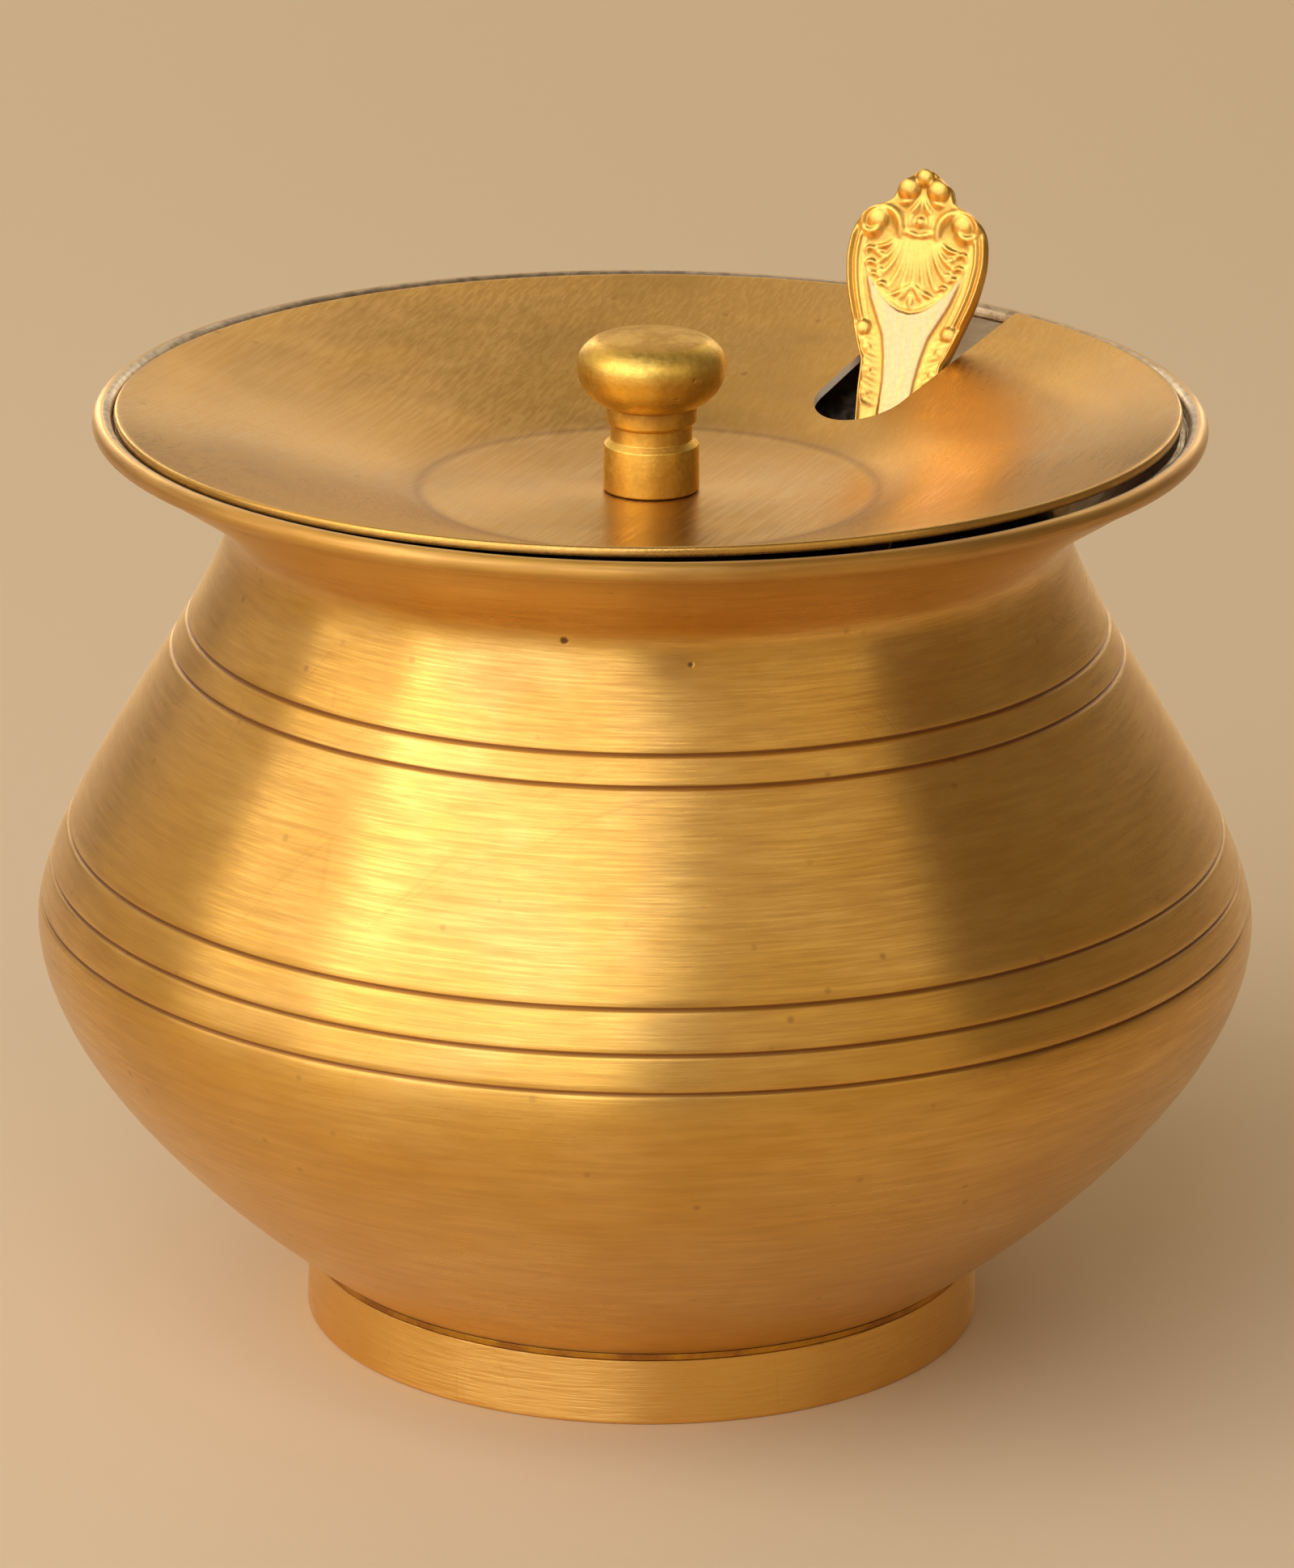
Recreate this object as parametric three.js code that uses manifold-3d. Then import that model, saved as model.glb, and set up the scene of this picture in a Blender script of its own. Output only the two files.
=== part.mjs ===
// Brass ghee pot: a turned vessel with a flared mouth and a rolled lip, a foot ring brazed under it,
// a tinned inside, a dished lid with a turned knob, and a spoon that hangs in the lid's notch.
// Millimetres, +Z up. The origin is the middle of the foot ring, on the surface the pot stands on.

import * as THREE from "three";
import { mergeVertices } from "three/addons/utils/BufferGeometryUtils.js";
import Module from "manifold-3d";

// Foot ring and the seam of braze above it
const footRadius = 31.95;
const footWall = 2.4;
const footHeight = 6.5;
const footLean = 0.25; // the ring is this much narrower at its top
const brazeThickness = 0.3;
const brazeGap = 0.15; // clear of the ring below and of the vessel above

// Vessel, outside: heights are stacked from the foot up
const baseLift = 5; // the underside stands this far off the table
const bellyRadius = 57;
const bellyRise = 32.4; // from the seam over the foot to the widest place
const bellyUnderBend = 11.5; // how far the side runs upright below the widest place
const footBend = 11; // how far the side runs straight out of the foot
const footSlopeDegrees = 36;
const bellyOverBend = 9; // how far the side runs upright above the widest place
const neckRadius = 39.1;
const neckRise = 37.5; // from the widest place to the narrowest
const neckUnderBend = 6;
const neckOverBend = 2.5;
const flareRise = 11.1; // from the narrowest place to the top of the lip
const flareBend = 6.5;
const flareSlopeDegrees = 37;
const lipRadius = 51.35;
const lipTube = 0.95; // half the thickness of the rolled lip
const wall = 1.5;
const rimWall = 1.05;
const grooveDepth = 0.25;
const grooveWidth = 0.5;
const grooveHeightShares = [0.0584, 0.1443, 0.2421, 0.6973, 0.7645]; // of the way from belly to neck

// Tin lining
const liningGap = 0.2;
const liningThickness = 0.3;

// Lid: a dish of sheet with a flat middle and a notch for the spoon, resting a little askew
const lidSheet = 0.8;
const lidRimGap = 0.3; // between the lid's edge and the rolled lip
const lidSeatGap = 0.3; // between the lid's lowest edge and the tinned flare
const lidTiltDegrees = 0.5; // its front edge stands up
const lidRollDegrees = 0.44; // its right edge stands up
const lidShift = -0.15; // pushed to the left in the mouth
const discRadius = 21.2;
const discCrease = 2.5;
const dishDepth = 8.5;
const notchDirectionDegrees = 53;
const notchTaperDegrees = 3;
const notchLength = 23.2; // from its round inner end to the lid's edge
const notchClearance = 0.7; // to the handle, on each side

// Knob and the screw and washer that hold it
const knobRadius = 4.4;
const knobBarrel = 4.3;
const knobBevel = 0.55;
const knobWaistRadius = 3.77;
const knobWaist = 1.3;
const knobCollarRadius = 4.17;
const knobCollar = 1.45;
const knobHeadRadius = 6.87;
const knobHeadRise = 4.1; // from the collar to the widest place
const knobShoulder = 2.15; // from the widest place to the edge of the top
const knobTopRadius = 5.9;
const knobDome = 0.45;
const knobOffCentre = 0.3;
const screwRadius = 1.5;
const screwReach = 6; // into the knob
const screwGap = 0.3;
const screwHeadRadius = 2.7;
const screwHead = 1.7;
const screwSlotWidth = 0.8;
const screwSlotDepth = 0.8;
const washerRadius = 4;
const washerThickness = 0.6;
const stackGap = 0.1; // between knob, lid, washer and screw head

// Spoon
const spoonHeadWidth = 14.5;
const spoonHeadLength = 18.9; // from the tip down to where the notch holds it
const spoonWaistWidth = 8.5; // where the notch holds it
const spoonWaistLength = 6;
const spoonTaperLength = 15; // from the waist down to the stem
const spoonStemWidth = 4;
const spoonBowlWidth = 22;
const spoonBowlLength = 36;
const spoonBowlDepth = 5;
const spoonThickness = 1.9;
const spoonBowlThickness = 1.3;
const spoonTipBend = 1.6; // the head curls this far towards its face
const spoonStemBow = 1; // and the stem bows this far the same way
const spoonLeanSide = 0.169; // run towards +X for a rise of 1
const spoonLeanBack = 0.45; // run towards +Y for a rise of 1
const spoonTurnDegrees = 24; // its face looks this far to the left of the front
const spoonNeckAngleDegrees = 46.8; // where round the neck it passes
const spoonNeckGap = 0.5; // between its back corner and the tinned neck
const spoonFloorGap = 4.5; // the middle of its tip hangs this far above the floor

const overrun = 2; // how far a cutter runs past what it cuts
const roundSegments = 48;
const knobSegments = 24;

const wasm = await Module();
wasm.setup();

const radians = THREE.MathUtils.degToRad;
const point = (r, z) => new THREE.Vector2(r, z);
const polar = (centre, radius, degrees) =>
  point(
    centre.x + radius * Math.cos(radians(degrees)),
    centre.y + radius * Math.sin(radians(degrees)),
  );

// A solid of revolution about Z. The profile runs so that the metal lies on its left.
function turned(profile, segments = roundSegments) {
  const onAxis = profile[0].x === 0 && profile.at(-1).x === 0;
  const closed = onAxis ? profile : [...profile, profile[0].clone()];
  return new THREE.LatheGeometry(closed, segments).rotateX(Math.PI / 2);
}

function toSolid(geometry) {
  const plain = geometry.clone();
  plain.deleteAttribute("normal");
  plain.deleteAttribute("uv");
  const merged = mergeVertices(plain, 1e-4);
  const mesh = new wasm.Mesh({
    numProp: 3,
    vertProperties: merged.attributes.position.array,
    triVerts: new Uint32Array(merged.index.array),
  });
  return new wasm.Manifold(mesh);
}

function toGeometry(solid) {
  const mesh = solid.getMesh();
  const geometry = new THREE.BufferGeometry();
  geometry.setAttribute("position", new THREE.BufferAttribute(mesh.vertProperties, 3));
  geometry.setIndex(new THREE.BufferAttribute(mesh.triVerts, 1));
  geometry.computeVertexNormals();
  return geometry;
}

function cut(geometry, cutter) {
  return toGeometry(toSolid(geometry).subtract(toSolid(cutter)));
}

// The point of a rising curve at a height, found by halving.
function atHeight(curve, height) {
  let low = 0;
  let high = 1;
  for (let i = 0; i < 40; i++) {
    const middle = (low + high) / 2;
    if (curve.getPoint(middle).y < height) low = middle;
    else high = middle;
  }
  return curve.getPoint(low);
}

// The height of a rising polyline at a radius; past its end the last stretch runs on.
function heightAt(line, radius) {
  const found = line.findIndex((p) => p.x >= radius);
  const next = found > 0 ? found : line.length - 1;
  const [a, b] = [line[next - 1], line[next]];
  return a.y + ((b.y - a.y) * (radius - a.x)) / (b.x - a.x);
}

// Moves each point of a line to its left by its own distance.
function offset(line, distanceAt) {
  return line.map((p, i) => {
    const along = line[Math.min(i + 1, line.length - 1)].clone().sub(line[Math.max(i - 1, 0)]);
    along.normalize();
    const moved = point(p.x - along.y * distanceAt(i), p.y + along.x * distanceAt(i));
    if (p.x === 0) moved.set(0, p.y + distanceAt(i));
    return moved;
  });
}

// Heights and curves of the vessel's outside
const seamHeight = footHeight + brazeThickness + 2 * brazeGap;
const bellyHeight = seamHeight + bellyRise;
const neckHeight = bellyHeight + neckRise;
const mouthHeight = neckHeight + flareRise;
const lipCentre = point(lipRadius - lipTube, mouthHeight - lipTube);
const footSlope = Math.tan(radians(footSlopeDegrees));
const flareSlope = radians(flareSlopeDegrees);

const baseCurve = new THREE.QuadraticBezierCurve(
  point(0, baseLift),
  point(footRadius - (seamHeight - baseLift) / footSlope, baseLift),
  point(footRadius, seamHeight),
);
const underCurve = new THREE.CubicBezierCurve(
  point(footRadius, seamHeight),
  polar(point(footRadius, seamHeight), footBend, footSlopeDegrees),
  point(bellyRadius, bellyHeight - bellyUnderBend),
  point(bellyRadius, bellyHeight),
);
const overCurve = new THREE.CubicBezierCurve(
  point(bellyRadius, bellyHeight),
  point(bellyRadius, bellyHeight + bellyOverBend),
  point(neckRadius, neckHeight - neckUnderBend),
  point(neckRadius, neckHeight),
);
const lipUnderDegrees = -100;
const lipInnerDegrees = 205;
const flareEnd = polar(lipCentre, lipTube, lipUnderDegrees);
const flareCurve = new THREE.CubicBezierCurve(
  point(neckRadius, neckHeight),
  point(neckRadius, neckHeight + neckOverBend),
  point(flareEnd.x - flareBend * Math.cos(flareSlope), flareEnd.y - flareBend * Math.sin(flareSlope)),
  flareEnd,
);

const shellLine = [
  ...baseCurve.getPoints(2),
  ...underCurve.getPoints(5).slice(1),
  ...overCurve.getPoints(6).slice(1),
  ...flareCurve.getPoints(4).slice(1),
];
const neckIndex = shellLine.findIndex((p) => p.y >= neckHeight);
const rimSteps = shellLine.length - 1 - neckIndex;
const wallAt = (i) => {
  const rimShare = Math.max(0, i - neckIndex) / rimSteps;
  return wall + (rimWall - wall) * rimShare;
};
const innerLine = offset(shellLine, wallAt);
innerLine[innerLine.length - 1] = polar(lipCentre, lipTube, lipInnerDegrees);

// The outside with the turned grooves: every plain point that is not beside a groove, and
// three points for each groove.
function groovedLine() {
  const grooves = grooveHeightShares.map((share) => bellyHeight + share * neckRise);
  const beside = (p) => grooves.some((height) => Math.abs(p.y - height) < grooveWidth);
  const cuts = grooves.flatMap((height) => {
    const bottom = atHeight(overCurve, height);
    return [
      atHeight(overCurve, height - grooveWidth / 2),
      point(bottom.x - grooveDepth, height),
      atHeight(overCurve, height + grooveWidth / 2),
    ];
  });
  const isSide = (p) => p.y > bellyHeight && p.y < neckHeight && p.x > neckRadius;
  const side = [...shellLine.filter(isSide).filter((p) => !beside(p)), ...cuts];
  side.sort((a, b) => a.y - b.y);
  const first = shellLine.findIndex(isSide);
  const last = shellLine.findLastIndex(isSide);
  return [...shellLine.slice(0, first), ...side, ...shellLine.slice(last + 1)];
}

function vesselGeometry() {
  const lipSteps = 6;
  const lip = [];
  for (let i = 1; i < lipSteps; i++) {
    const turn = (lipInnerDegrees - lipUnderDegrees) / lipSteps;
    lip.push(polar(lipCentre, lipTube, lipUnderDegrees + i * turn));
  }
  return turned([...groovedLine(), ...lip, ...innerLine.toReversed()]);
}

// The lining ends beside the rolled lip, a gap away from it.
const liningOuter = offset(innerLine, () => liningGap);
const liningInner = offset(innerLine, () => liningGap + liningThickness);
const liningEndDegrees = 190;
liningOuter[liningOuter.length - 1] = polar(lipCentre, lipTube + liningGap, lipInnerDegrees);
liningInner[liningInner.length - 1] = polar(lipCentre, lipTube + liningGap, liningEndDegrees);
const floorHeight = liningInner[0].y;

const liningGeometry = () => turned([...liningOuter, ...liningInner.toReversed()]);

// The foot ring's top edge and the braze follow the slope of the vessel above them.
function footGeometry() {
  const inner = footRadius - footWall;
  const slant = footWall * footSlope;
  return turned([
    point(inner, 0),
    point(footRadius, 0),
    point(footRadius - footLean, footHeight - footLean * footSlope),
    point(inner, footHeight - slant),
  ]);
}

function brazeGeometry() {
  const inner = footRadius - footWall;
  const slant = footWall * footSlope;
  const lowest = footHeight + brazeGap;
  const outer = footRadius - footLean;
  const drop = footLean * footSlope;
  return turned([
    point(inner, lowest - slant),
    point(outer, lowest - drop),
    point(outer, lowest - drop + brazeThickness),
    point(inner, lowest - slant + brazeThickness),
  ]);
}

// Lid: its own frame has the top of the flat disc at zero.
const lidRadius = lipRadius - 2 * lipTube - lidRimGap;
const dishSlope = Math.atan2(dishDepth, lidRadius - discRadius);
const lidEdgeSheet = lidSheet / Math.cos(dishSlope);
const lidTilt = radians(lidTiltDegrees);
const lidRoll = radians(lidRollDegrees);
const lidLean = Math.hypot(lidTilt, lidRoll);
const lidBoreRadius = screwRadius + screwGap;
const seatHeight = heightAt(liningInner.slice(neckIndex), lidRadius + Math.abs(lidShift));
const discHeight =
  seatHeight + lidSeatGap + lidRadius * Math.sin(lidLean) - (dishDepth - lidEdgeSheet) * Math.cos(lidLean);

const dishAt = (r) => Math.max(0, (r - discRadius) * Math.tan(dishSlope));

function lidGeometry() {
  const crease = new THREE.QuadraticBezierCurve(
    point(discRadius - discCrease, 0),
    point(discRadius, 0),
    point(discRadius + discCrease, dishAt(discRadius + discCrease)),
  ).getPoints(4);
  const edgeRound = lidSheet / 4;
  const rim = point(lidRadius, dishDepth);
  const top = [point(lidBoreRadius + knobOffCentre, 0), ...crease];
  const under = top.map((p) => point(p.x, p.y - (p.x > discRadius ? lidEdgeSheet : lidSheet)));
  const dish = turned([
    ...under,
    point(rim.x - edgeRound, rim.y - edgeRound * Math.tan(dishSlope) - lidEdgeSheet),
    point(rim.x, rim.y - lidEdgeSheet + edgeRound),
    point(rim.x, rim.y - edgeRound),
    point(rim.x - edgeRound, rim.y),
    ...top.toReversed(),
  ]);
  return cut(dish, notchCutter());
}

// Spoon: an axis that passes the neck beside the lining and comes out through the lid.
const spoonAxis = new THREE.Vector3(spoonLeanSide, spoonLeanBack, 1).normalize();
const spoonTurn = radians(spoonTurnDegrees);
const spoonAcross = new THREE.Vector3(Math.cos(spoonTurn), -Math.sin(spoonTurn), 0);
spoonAcross.addScaledVector(spoonAxis, -spoonAcross.dot(spoonAxis)).normalize();
const spoonFace = new THREE.Vector3().crossVectors(spoonAcross, spoonAxis);

// How far the handle's back corner, on its outer side, stays from the tinned neck and flare.
function spoonClearance(neck) {
  const gapAt = (wallPoint) => {
    const corner = neck.clone();
    corner.addScaledVector(spoonAcross, spoonWaistWidth / 2);
    corner.addScaledVector(spoonFace, -spoonThickness);
    corner.addScaledVector(spoonAxis, (wallPoint.y - corner.z) / spoonAxis.z);
    return wallPoint.x * Math.cos(Math.PI / roundSegments) - Math.hypot(corner.x, corner.y);
  };
  return Math.min(...liningInner.slice(neckIndex - 1, -1).map(gapAt));
}

function spoonNeckPoint() {
  const direction = radians(spoonNeckAngleDegrees);
  const outward = new THREE.Vector3(Math.cos(direction), Math.sin(direction), 0);
  const place = new THREE.Vector3(0, 0, neckHeight);
  for (let i = 0; i < 8; i++) {
    place.addScaledVector(outward, spoonClearance(place) - spoonNeckGap);
  }
  return place;
}

function spoonCrossing() {
  const neck = spoonNeckPoint();
  const crossing = neck.clone();
  for (let i = 0; i < 20; i++) {
    const lidHeight = discHeight + dishAt(Math.hypot(crossing.x, crossing.y));
    crossing.copy(neck).addScaledVector(spoonAxis, (lidHeight - neckHeight) / spoonAxis.z);
  }
  return crossing;
}

const crossing = spoonCrossing();
const spoonReach = (crossing.z - floorHeight - spoonFloorGap) / spoonAxis.z;

// The notch runs from its round inner end out through the lid's edge and widens as it goes. It is
// as wide as the handle needs where the handle stands in it.
function notchCutter() {
  const direction = radians(notchDirectionDegrees);
  const along = new THREE.Vector3(Math.cos(direction), Math.sin(direction), 0);
  const side = new THREE.Vector3(-along.y, along.x, 0);
  const across =
    spoonWaistWidth * Math.abs(spoonAcross.dot(side)) + spoonThickness * Math.abs(spoonFace.dot(side));
  const handle = crossing.clone().addScaledVector(spoonFace, -spoonThickness / 2);
  const handleAlong = handle.dot(along);
  const handleSide = handle.dot(side);
  const taper = Math.tan(radians(notchTaperDegrees));
  const halfAt = (x) => across / 2 + notchClearance + (x - handleAlong) * taper;
  const start = lidRadius - notchLength;
  const round = halfAt(start) / (1 - taper);
  const centre = start + round;
  const end = lidRadius + overrun;
  const outline = new THREE.Shape();
  outline.absarc(centre, 0, round, Math.PI / 2, (3 * Math.PI) / 2, false);
  outline.lineTo(end, -halfAt(end));
  outline.lineTo(end, halfAt(end));
  const depth = dishDepth + 2 * overrun;
  const slot = new THREE.ExtrudeGeometry(outline, { depth, bevelEnabled: false, curveSegments: 12 });
  slot.translate(0, handleSide, -overrun);
  slot.rotateZ(direction);
  return slot.translate(-lidShift, 0, 0);
}

// Knob: zero is the face that stands on the lid.
function knobGeometry() {
  const boreRadius = screwRadius + screwGap;
  const boreDepth = screwReach + screwGap;
  const waistFoot = knobBarrel + knobBevel;
  const waistTop = waistFoot + knobWaist;
  const collarFoot = waistTop + knobCollarRadius - knobWaistRadius;
  const collarTop = collarFoot + knobCollar;
  const widest = collarTop + knobHeadRise;
  const topEdge = widest + knobShoulder;
  const lower = new THREE.CubicBezierCurve(
    point(knobRadius, collarTop),
    point(knobHeadRadius * 0.87, collarTop + knobHeadRise * 0.16),
    point(knobHeadRadius, collarTop + knobHeadRise * 0.5),
    point(knobHeadRadius, widest),
  );
  const upper = new THREE.CubicBezierCurve(
    point(knobHeadRadius, widest),
    point(knobHeadRadius, widest + knobShoulder * 0.5),
    point(knobHeadRadius - (knobHeadRadius - knobTopRadius) * 0.3, widest + knobShoulder * 0.85),
    point(knobTopRadius, topEdge),
  );
  return turned(
    [
      point(0, boreDepth),
      point(boreRadius, boreDepth),
      point(boreRadius, 0),
      point(knobRadius, 0),
      point(knobRadius, knobBarrel),
      point(knobWaistRadius, waistFoot),
      point(knobWaistRadius, waistTop),
      point(knobCollarRadius, collarFoot),
      point(knobCollarRadius, collarTop),
      ...lower.getPoints(4),
      ...upper.getPoints(3).slice(1),
      point(knobTopRadius / 2, topEdge + knobDome * 0.75),
      point(0, topEdge + knobDome),
    ],
    knobSegments,
  );
}

// Screw: zero is the face of its head that bears on the washer, and the head hangs below.
function screwGeometry() {
  const shank = screwReach + stackGap + lidSheet + stackGap + washerThickness + stackGap;
  const rounding = screwHead / 3;
  const body = turned(
    [
      point(0, -screwHead),
      point(screwHeadRadius - rounding, -screwHead),
      point(screwHeadRadius, rounding - screwHead),
      point(screwHeadRadius, 0),
      point(screwRadius, 0),
      point(screwRadius, shank),
      point(0, shank),
    ],
    knobSegments,
  );
  const slot = new THREE.BoxGeometry(2 * (screwHeadRadius + overrun), screwSlotWidth, 2 * screwSlotDepth);
  return cut(body, slot.translate(0, 0, -screwHead));
}

function washerGeometry() {
  const bore = screwRadius + screwGap;
  return turned(
    [point(bore, 0), point(washerRadius, 0), point(washerRadius, washerThickness), point(bore, washerThickness)],
    knobSegments,
  );
}

// The spoon's stations from its tip to the end of its bowl: how far along, half its width, how
// deep the bowl is there and how thick the metal.
function spoonStations() {
  const headShares = [
    [0, 0.13],
    [0.033, 0.24],
    [0.067, 0.36],
    [0.15, 0.41],
    [0.19, 0.68],
    [0.29, 0.93],
    [0.46, 1],
    [0.64, 0.94],
    [0.82, 0.78],
  ];
  const bowlShares = [
    [0, 0.19, 0.05],
    [0.06, 0.36, 0.22],
    [0.16, 0.66, 0.52],
    [0.3, 0.88, 0.83],
    [0.46, 0.99, 1],
    [0.62, 0.97, 0.98],
    [0.77, 0.83, 0.78],
    [0.89, 0.6, 0.48],
    [0.96, 0.38, 0.22],
    [1, 0.13, 0.03],
  ];
  const end = spoonHeadLength + spoonReach;
  const neck = end - spoonBowlLength;
  const waistEnd = spoonHeadLength + spoonWaistLength;
  const stemStart = waistEnd + spoonTaperLength;
  const stations = headShares.map(([along, width]) => ({
    at: along * spoonHeadLength,
    half: (width * spoonHeadWidth) / 2,
    dish: 0,
    thick: spoonThickness,
  }));
  const handle = (at, width) => stations.push({ at, half: width / 2, dish: 0, thick: spoonThickness });
  handle(spoonHeadLength, spoonWaistWidth);
  handle(waistEnd, spoonWaistWidth);
  handle((waistEnd + stemStart) / 2, (spoonWaistWidth + spoonStemWidth) / 2);
  handle(stemStart, spoonStemWidth);
  handle((stemStart + neck) / 2, spoonStemWidth);
  bowlShares.forEach(([along, width, dish]) =>
    stations.push({
      at: neck + along * spoonBowlLength,
      half: (width * spoonBowlWidth) / 2,
      dish: dish * spoonBowlDepth,
      thick: spoonBowlThickness,
    }),
  );
  return { stations, neck };
}

// A loft through the stations: each is a strip with a face, which is dished in the bowl, and a
// back that follows it.
function spoonGeometry() {
  const { stations, neck } = spoonStations();
  const columns = 6;
  const bend = (at) => {
    const up = Math.max(0, spoonHeadLength - at) / spoonHeadLength;
    const down = THREE.MathUtils.clamp((at - spoonHeadLength) / (neck - spoonHeadLength), 0, 1);
    return spoonTipBend * up * up + spoonStemBow * Math.sin(Math.PI * down) ** 2;
  };
  const positions = [];
  const put = (station, across, depth) => {
    const place = crossing.clone();
    place.addScaledVector(spoonAxis, spoonHeadLength - station.at);
    place.addScaledVector(spoonAcross, across * station.half);
    place.addScaledVector(spoonFace, bend(station.at) - station.dish * (1 - across * across) - depth);
    positions.push(place.x, place.y, place.z);
  };
  stations.forEach((station) => {
    for (let i = 0; i <= columns; i++) put(station, (2 * i) / columns - 1, 0);
    for (let i = columns; i >= 0; i--) put(station, (2 * i) / columns - 1, station.thick);
  });
  const ring = 2 * (columns + 1);
  const faces = [];
  for (let s = 0; s + 1 < stations.length; s++) {
    for (let i = 0; i < ring; i++) {
      const a = s * ring + i;
      const b = s * ring + ((i + 1) % ring);
      faces.push(a, a + ring, b, b, a + ring, b + ring);
    }
  }
  const last = (stations.length - 1) * ring;
  for (let i = 0; i < columns; i++) {
    const j = ring - 1 - i;
    faces.push(i, i + 1, j, j, i + 1, j - 1);
    faces.push(last + i, last + j, last + i + 1, last + i + 1, last + j, last + j - 1);
  }
  const geometry = new THREE.BufferGeometry();
  geometry.setAttribute("position", new THREE.Float32BufferAttribute(positions, 3));
  geometry.setIndex(faces);
  geometry.computeVertexNormals();
  return geometry;
}

const finish = (color, roughness) => new THREE.MeshStandardMaterial({ color, roughness, metalness: 1 });

function part(name, geometry, material) {
  const mesh = new THREE.Mesh(geometry, material);
  mesh.name = name;
  return mesh;
}

const pot = new THREE.Group();
pot.add(
  part("pot_body", vesselGeometry(), finish(0xc99a3f, 0.35)),
  part("foot_ring", footGeometry(), finish(0xc99a3f, 0.38)),
  part("foot_braze", brazeGeometry(), finish(0xb58a45, 0.5)),
  part("tin_lining", liningGeometry(), finish(0xb9b4a8, 0.45)),
);

const lidAssembly = new THREE.Group();
lidAssembly.position.set(lidShift, 0, discHeight);
lidAssembly.rotation.set(-lidTilt, -lidRoll, 0);
const knobStack = new THREE.Group();
knobStack.position.x = knobOffCentre;
const knob = part("lid_knob", knobGeometry(), finish(0xd09a34, 0.3));
knob.position.z = stackGap;
const washer = part("knob_washer", washerGeometry(), finish(0xbf9440, 0.4));
washer.position.z = -lidSheet - stackGap - washerThickness;
const screw = part("knob_screw", screwGeometry(), finish(0xb98f45, 0.4));
screw.position.z = washer.position.z - stackGap;
knobStack.add(knob, washer, screw);
lidAssembly.add(part("lid_dish", lidGeometry(), finish(0xb8924a, 0.42)), knobStack);

const spoon = part("spoon", spoonGeometry(), finish(0xe0b45c, 0.3));

const gheePot = new THREE.Group();
gheePot.add(pot, lidAssembly, spoon);

export default gheePot;
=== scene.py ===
# The looks of a brass ghee pot: satin turned brass, a tinned mouth, a spun lid with a turned knob,
# and a cast spoon with a shell on its head. Sizes are in millimetres and are turned into metres
# where a mesh is made.

import math
from functools import partial

import bmesh
import bpy
import numpy as np
from mathutils import Matrix, Vector


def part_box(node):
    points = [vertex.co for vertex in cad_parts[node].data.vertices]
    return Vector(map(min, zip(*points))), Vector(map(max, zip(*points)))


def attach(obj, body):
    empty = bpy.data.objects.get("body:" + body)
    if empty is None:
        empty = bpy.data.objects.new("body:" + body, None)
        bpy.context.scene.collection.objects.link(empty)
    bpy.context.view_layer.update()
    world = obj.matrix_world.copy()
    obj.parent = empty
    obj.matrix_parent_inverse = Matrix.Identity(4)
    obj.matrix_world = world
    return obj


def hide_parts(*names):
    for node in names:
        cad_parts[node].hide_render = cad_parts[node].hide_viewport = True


MM = 0.001

# Vessel
FOOT_RADIUS = 31.95
FOOT_WALL = 2.4
FOOT_HEIGHT = 6.5
FOOT_LEAN = 0.25
FOOT_SLOPE = math.radians(36)
FOOT_BEND = 11
FOOT_STAIN = 1.1
SEAM = 0.6
BASE_LIFT = 5
BELLY_RADIUS = 57
BELLY_HEIGHT = 39.5
BELLY_UNDER_BEND = 11.5
BELLY_OVER_BEND = 9
NECK_RADIUS = 39.1
NECK_HEIGHT = 77
NECK_UNDER_BEND = 6
NECK_OVER_BEND = 2.5
FLARE_BEND = 6.5
FLARE_SLOPE = math.radians(37)
MOUTH_HEIGHT = 88.1
LIP_RADIUS = 51.35
LIP_TUBE = 0.95
# turns round the lip's tube, in degrees from the outside
LIP_UNDER = -100
LIP_INNER = 205
LIP_TINNED = 80
WALL = 1.5
RIM_WALL = 1.05
GROOVE_DEPTH = 0.25
GROOVE_WIDTH = 0.52
GROOVE_SHARES = (0.0584, 0.1443, 0.2421, 0.6973, 0.7645)
LINING_GAP = 0.2
LINING_THICKNESS = 0.3
LINING_ENDS = (200, 190)

# Lid, knob and fixing
LID_SHEET = 0.8
LID_RADIUS = 49.15
LID_EDGE_DROP = 0.22
LID_EDGE_WIDTH = 0.4
LID_EDGE_ROUND = 0.85
LID_TILT = math.radians(0.5)
LID_ROLL = math.radians(0.44)
LID_SHIFT = -0.15
DISC_RADIUS = 21.2
DISC_CREASE = 1.7
DISH_DEPTH = 8.5
NOTCH_DIRECTION = math.radians(53)
NOTCH_TAPER = math.radians(3)
NOTCH_LENGTH = 23.2
NOTCH_CLEARANCE = 0.7
KNOB_OFF_CENTRE = 0.3
KNOB_RADIUS = 4.4
KNOB_BARREL = 4.3
KNOB_WAIST_RADIUS = 3.77
KNOB_COLLAR_RADIUS = 4.17
KNOB_HEAD_RADIUS = 6.87
KNOB_HEIGHT = 14.7
STACK_GAP = 0.1
SCREW_RADIUS = 1.5
SCREW_REACH = 6
SCREW_GAP = 0.3
SCREW_HEAD_RADIUS = 2.7
SCREW_HEAD = 1.7
WASHER_RADIUS = 4
WASHER_THICKNESS = 0.6

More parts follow.
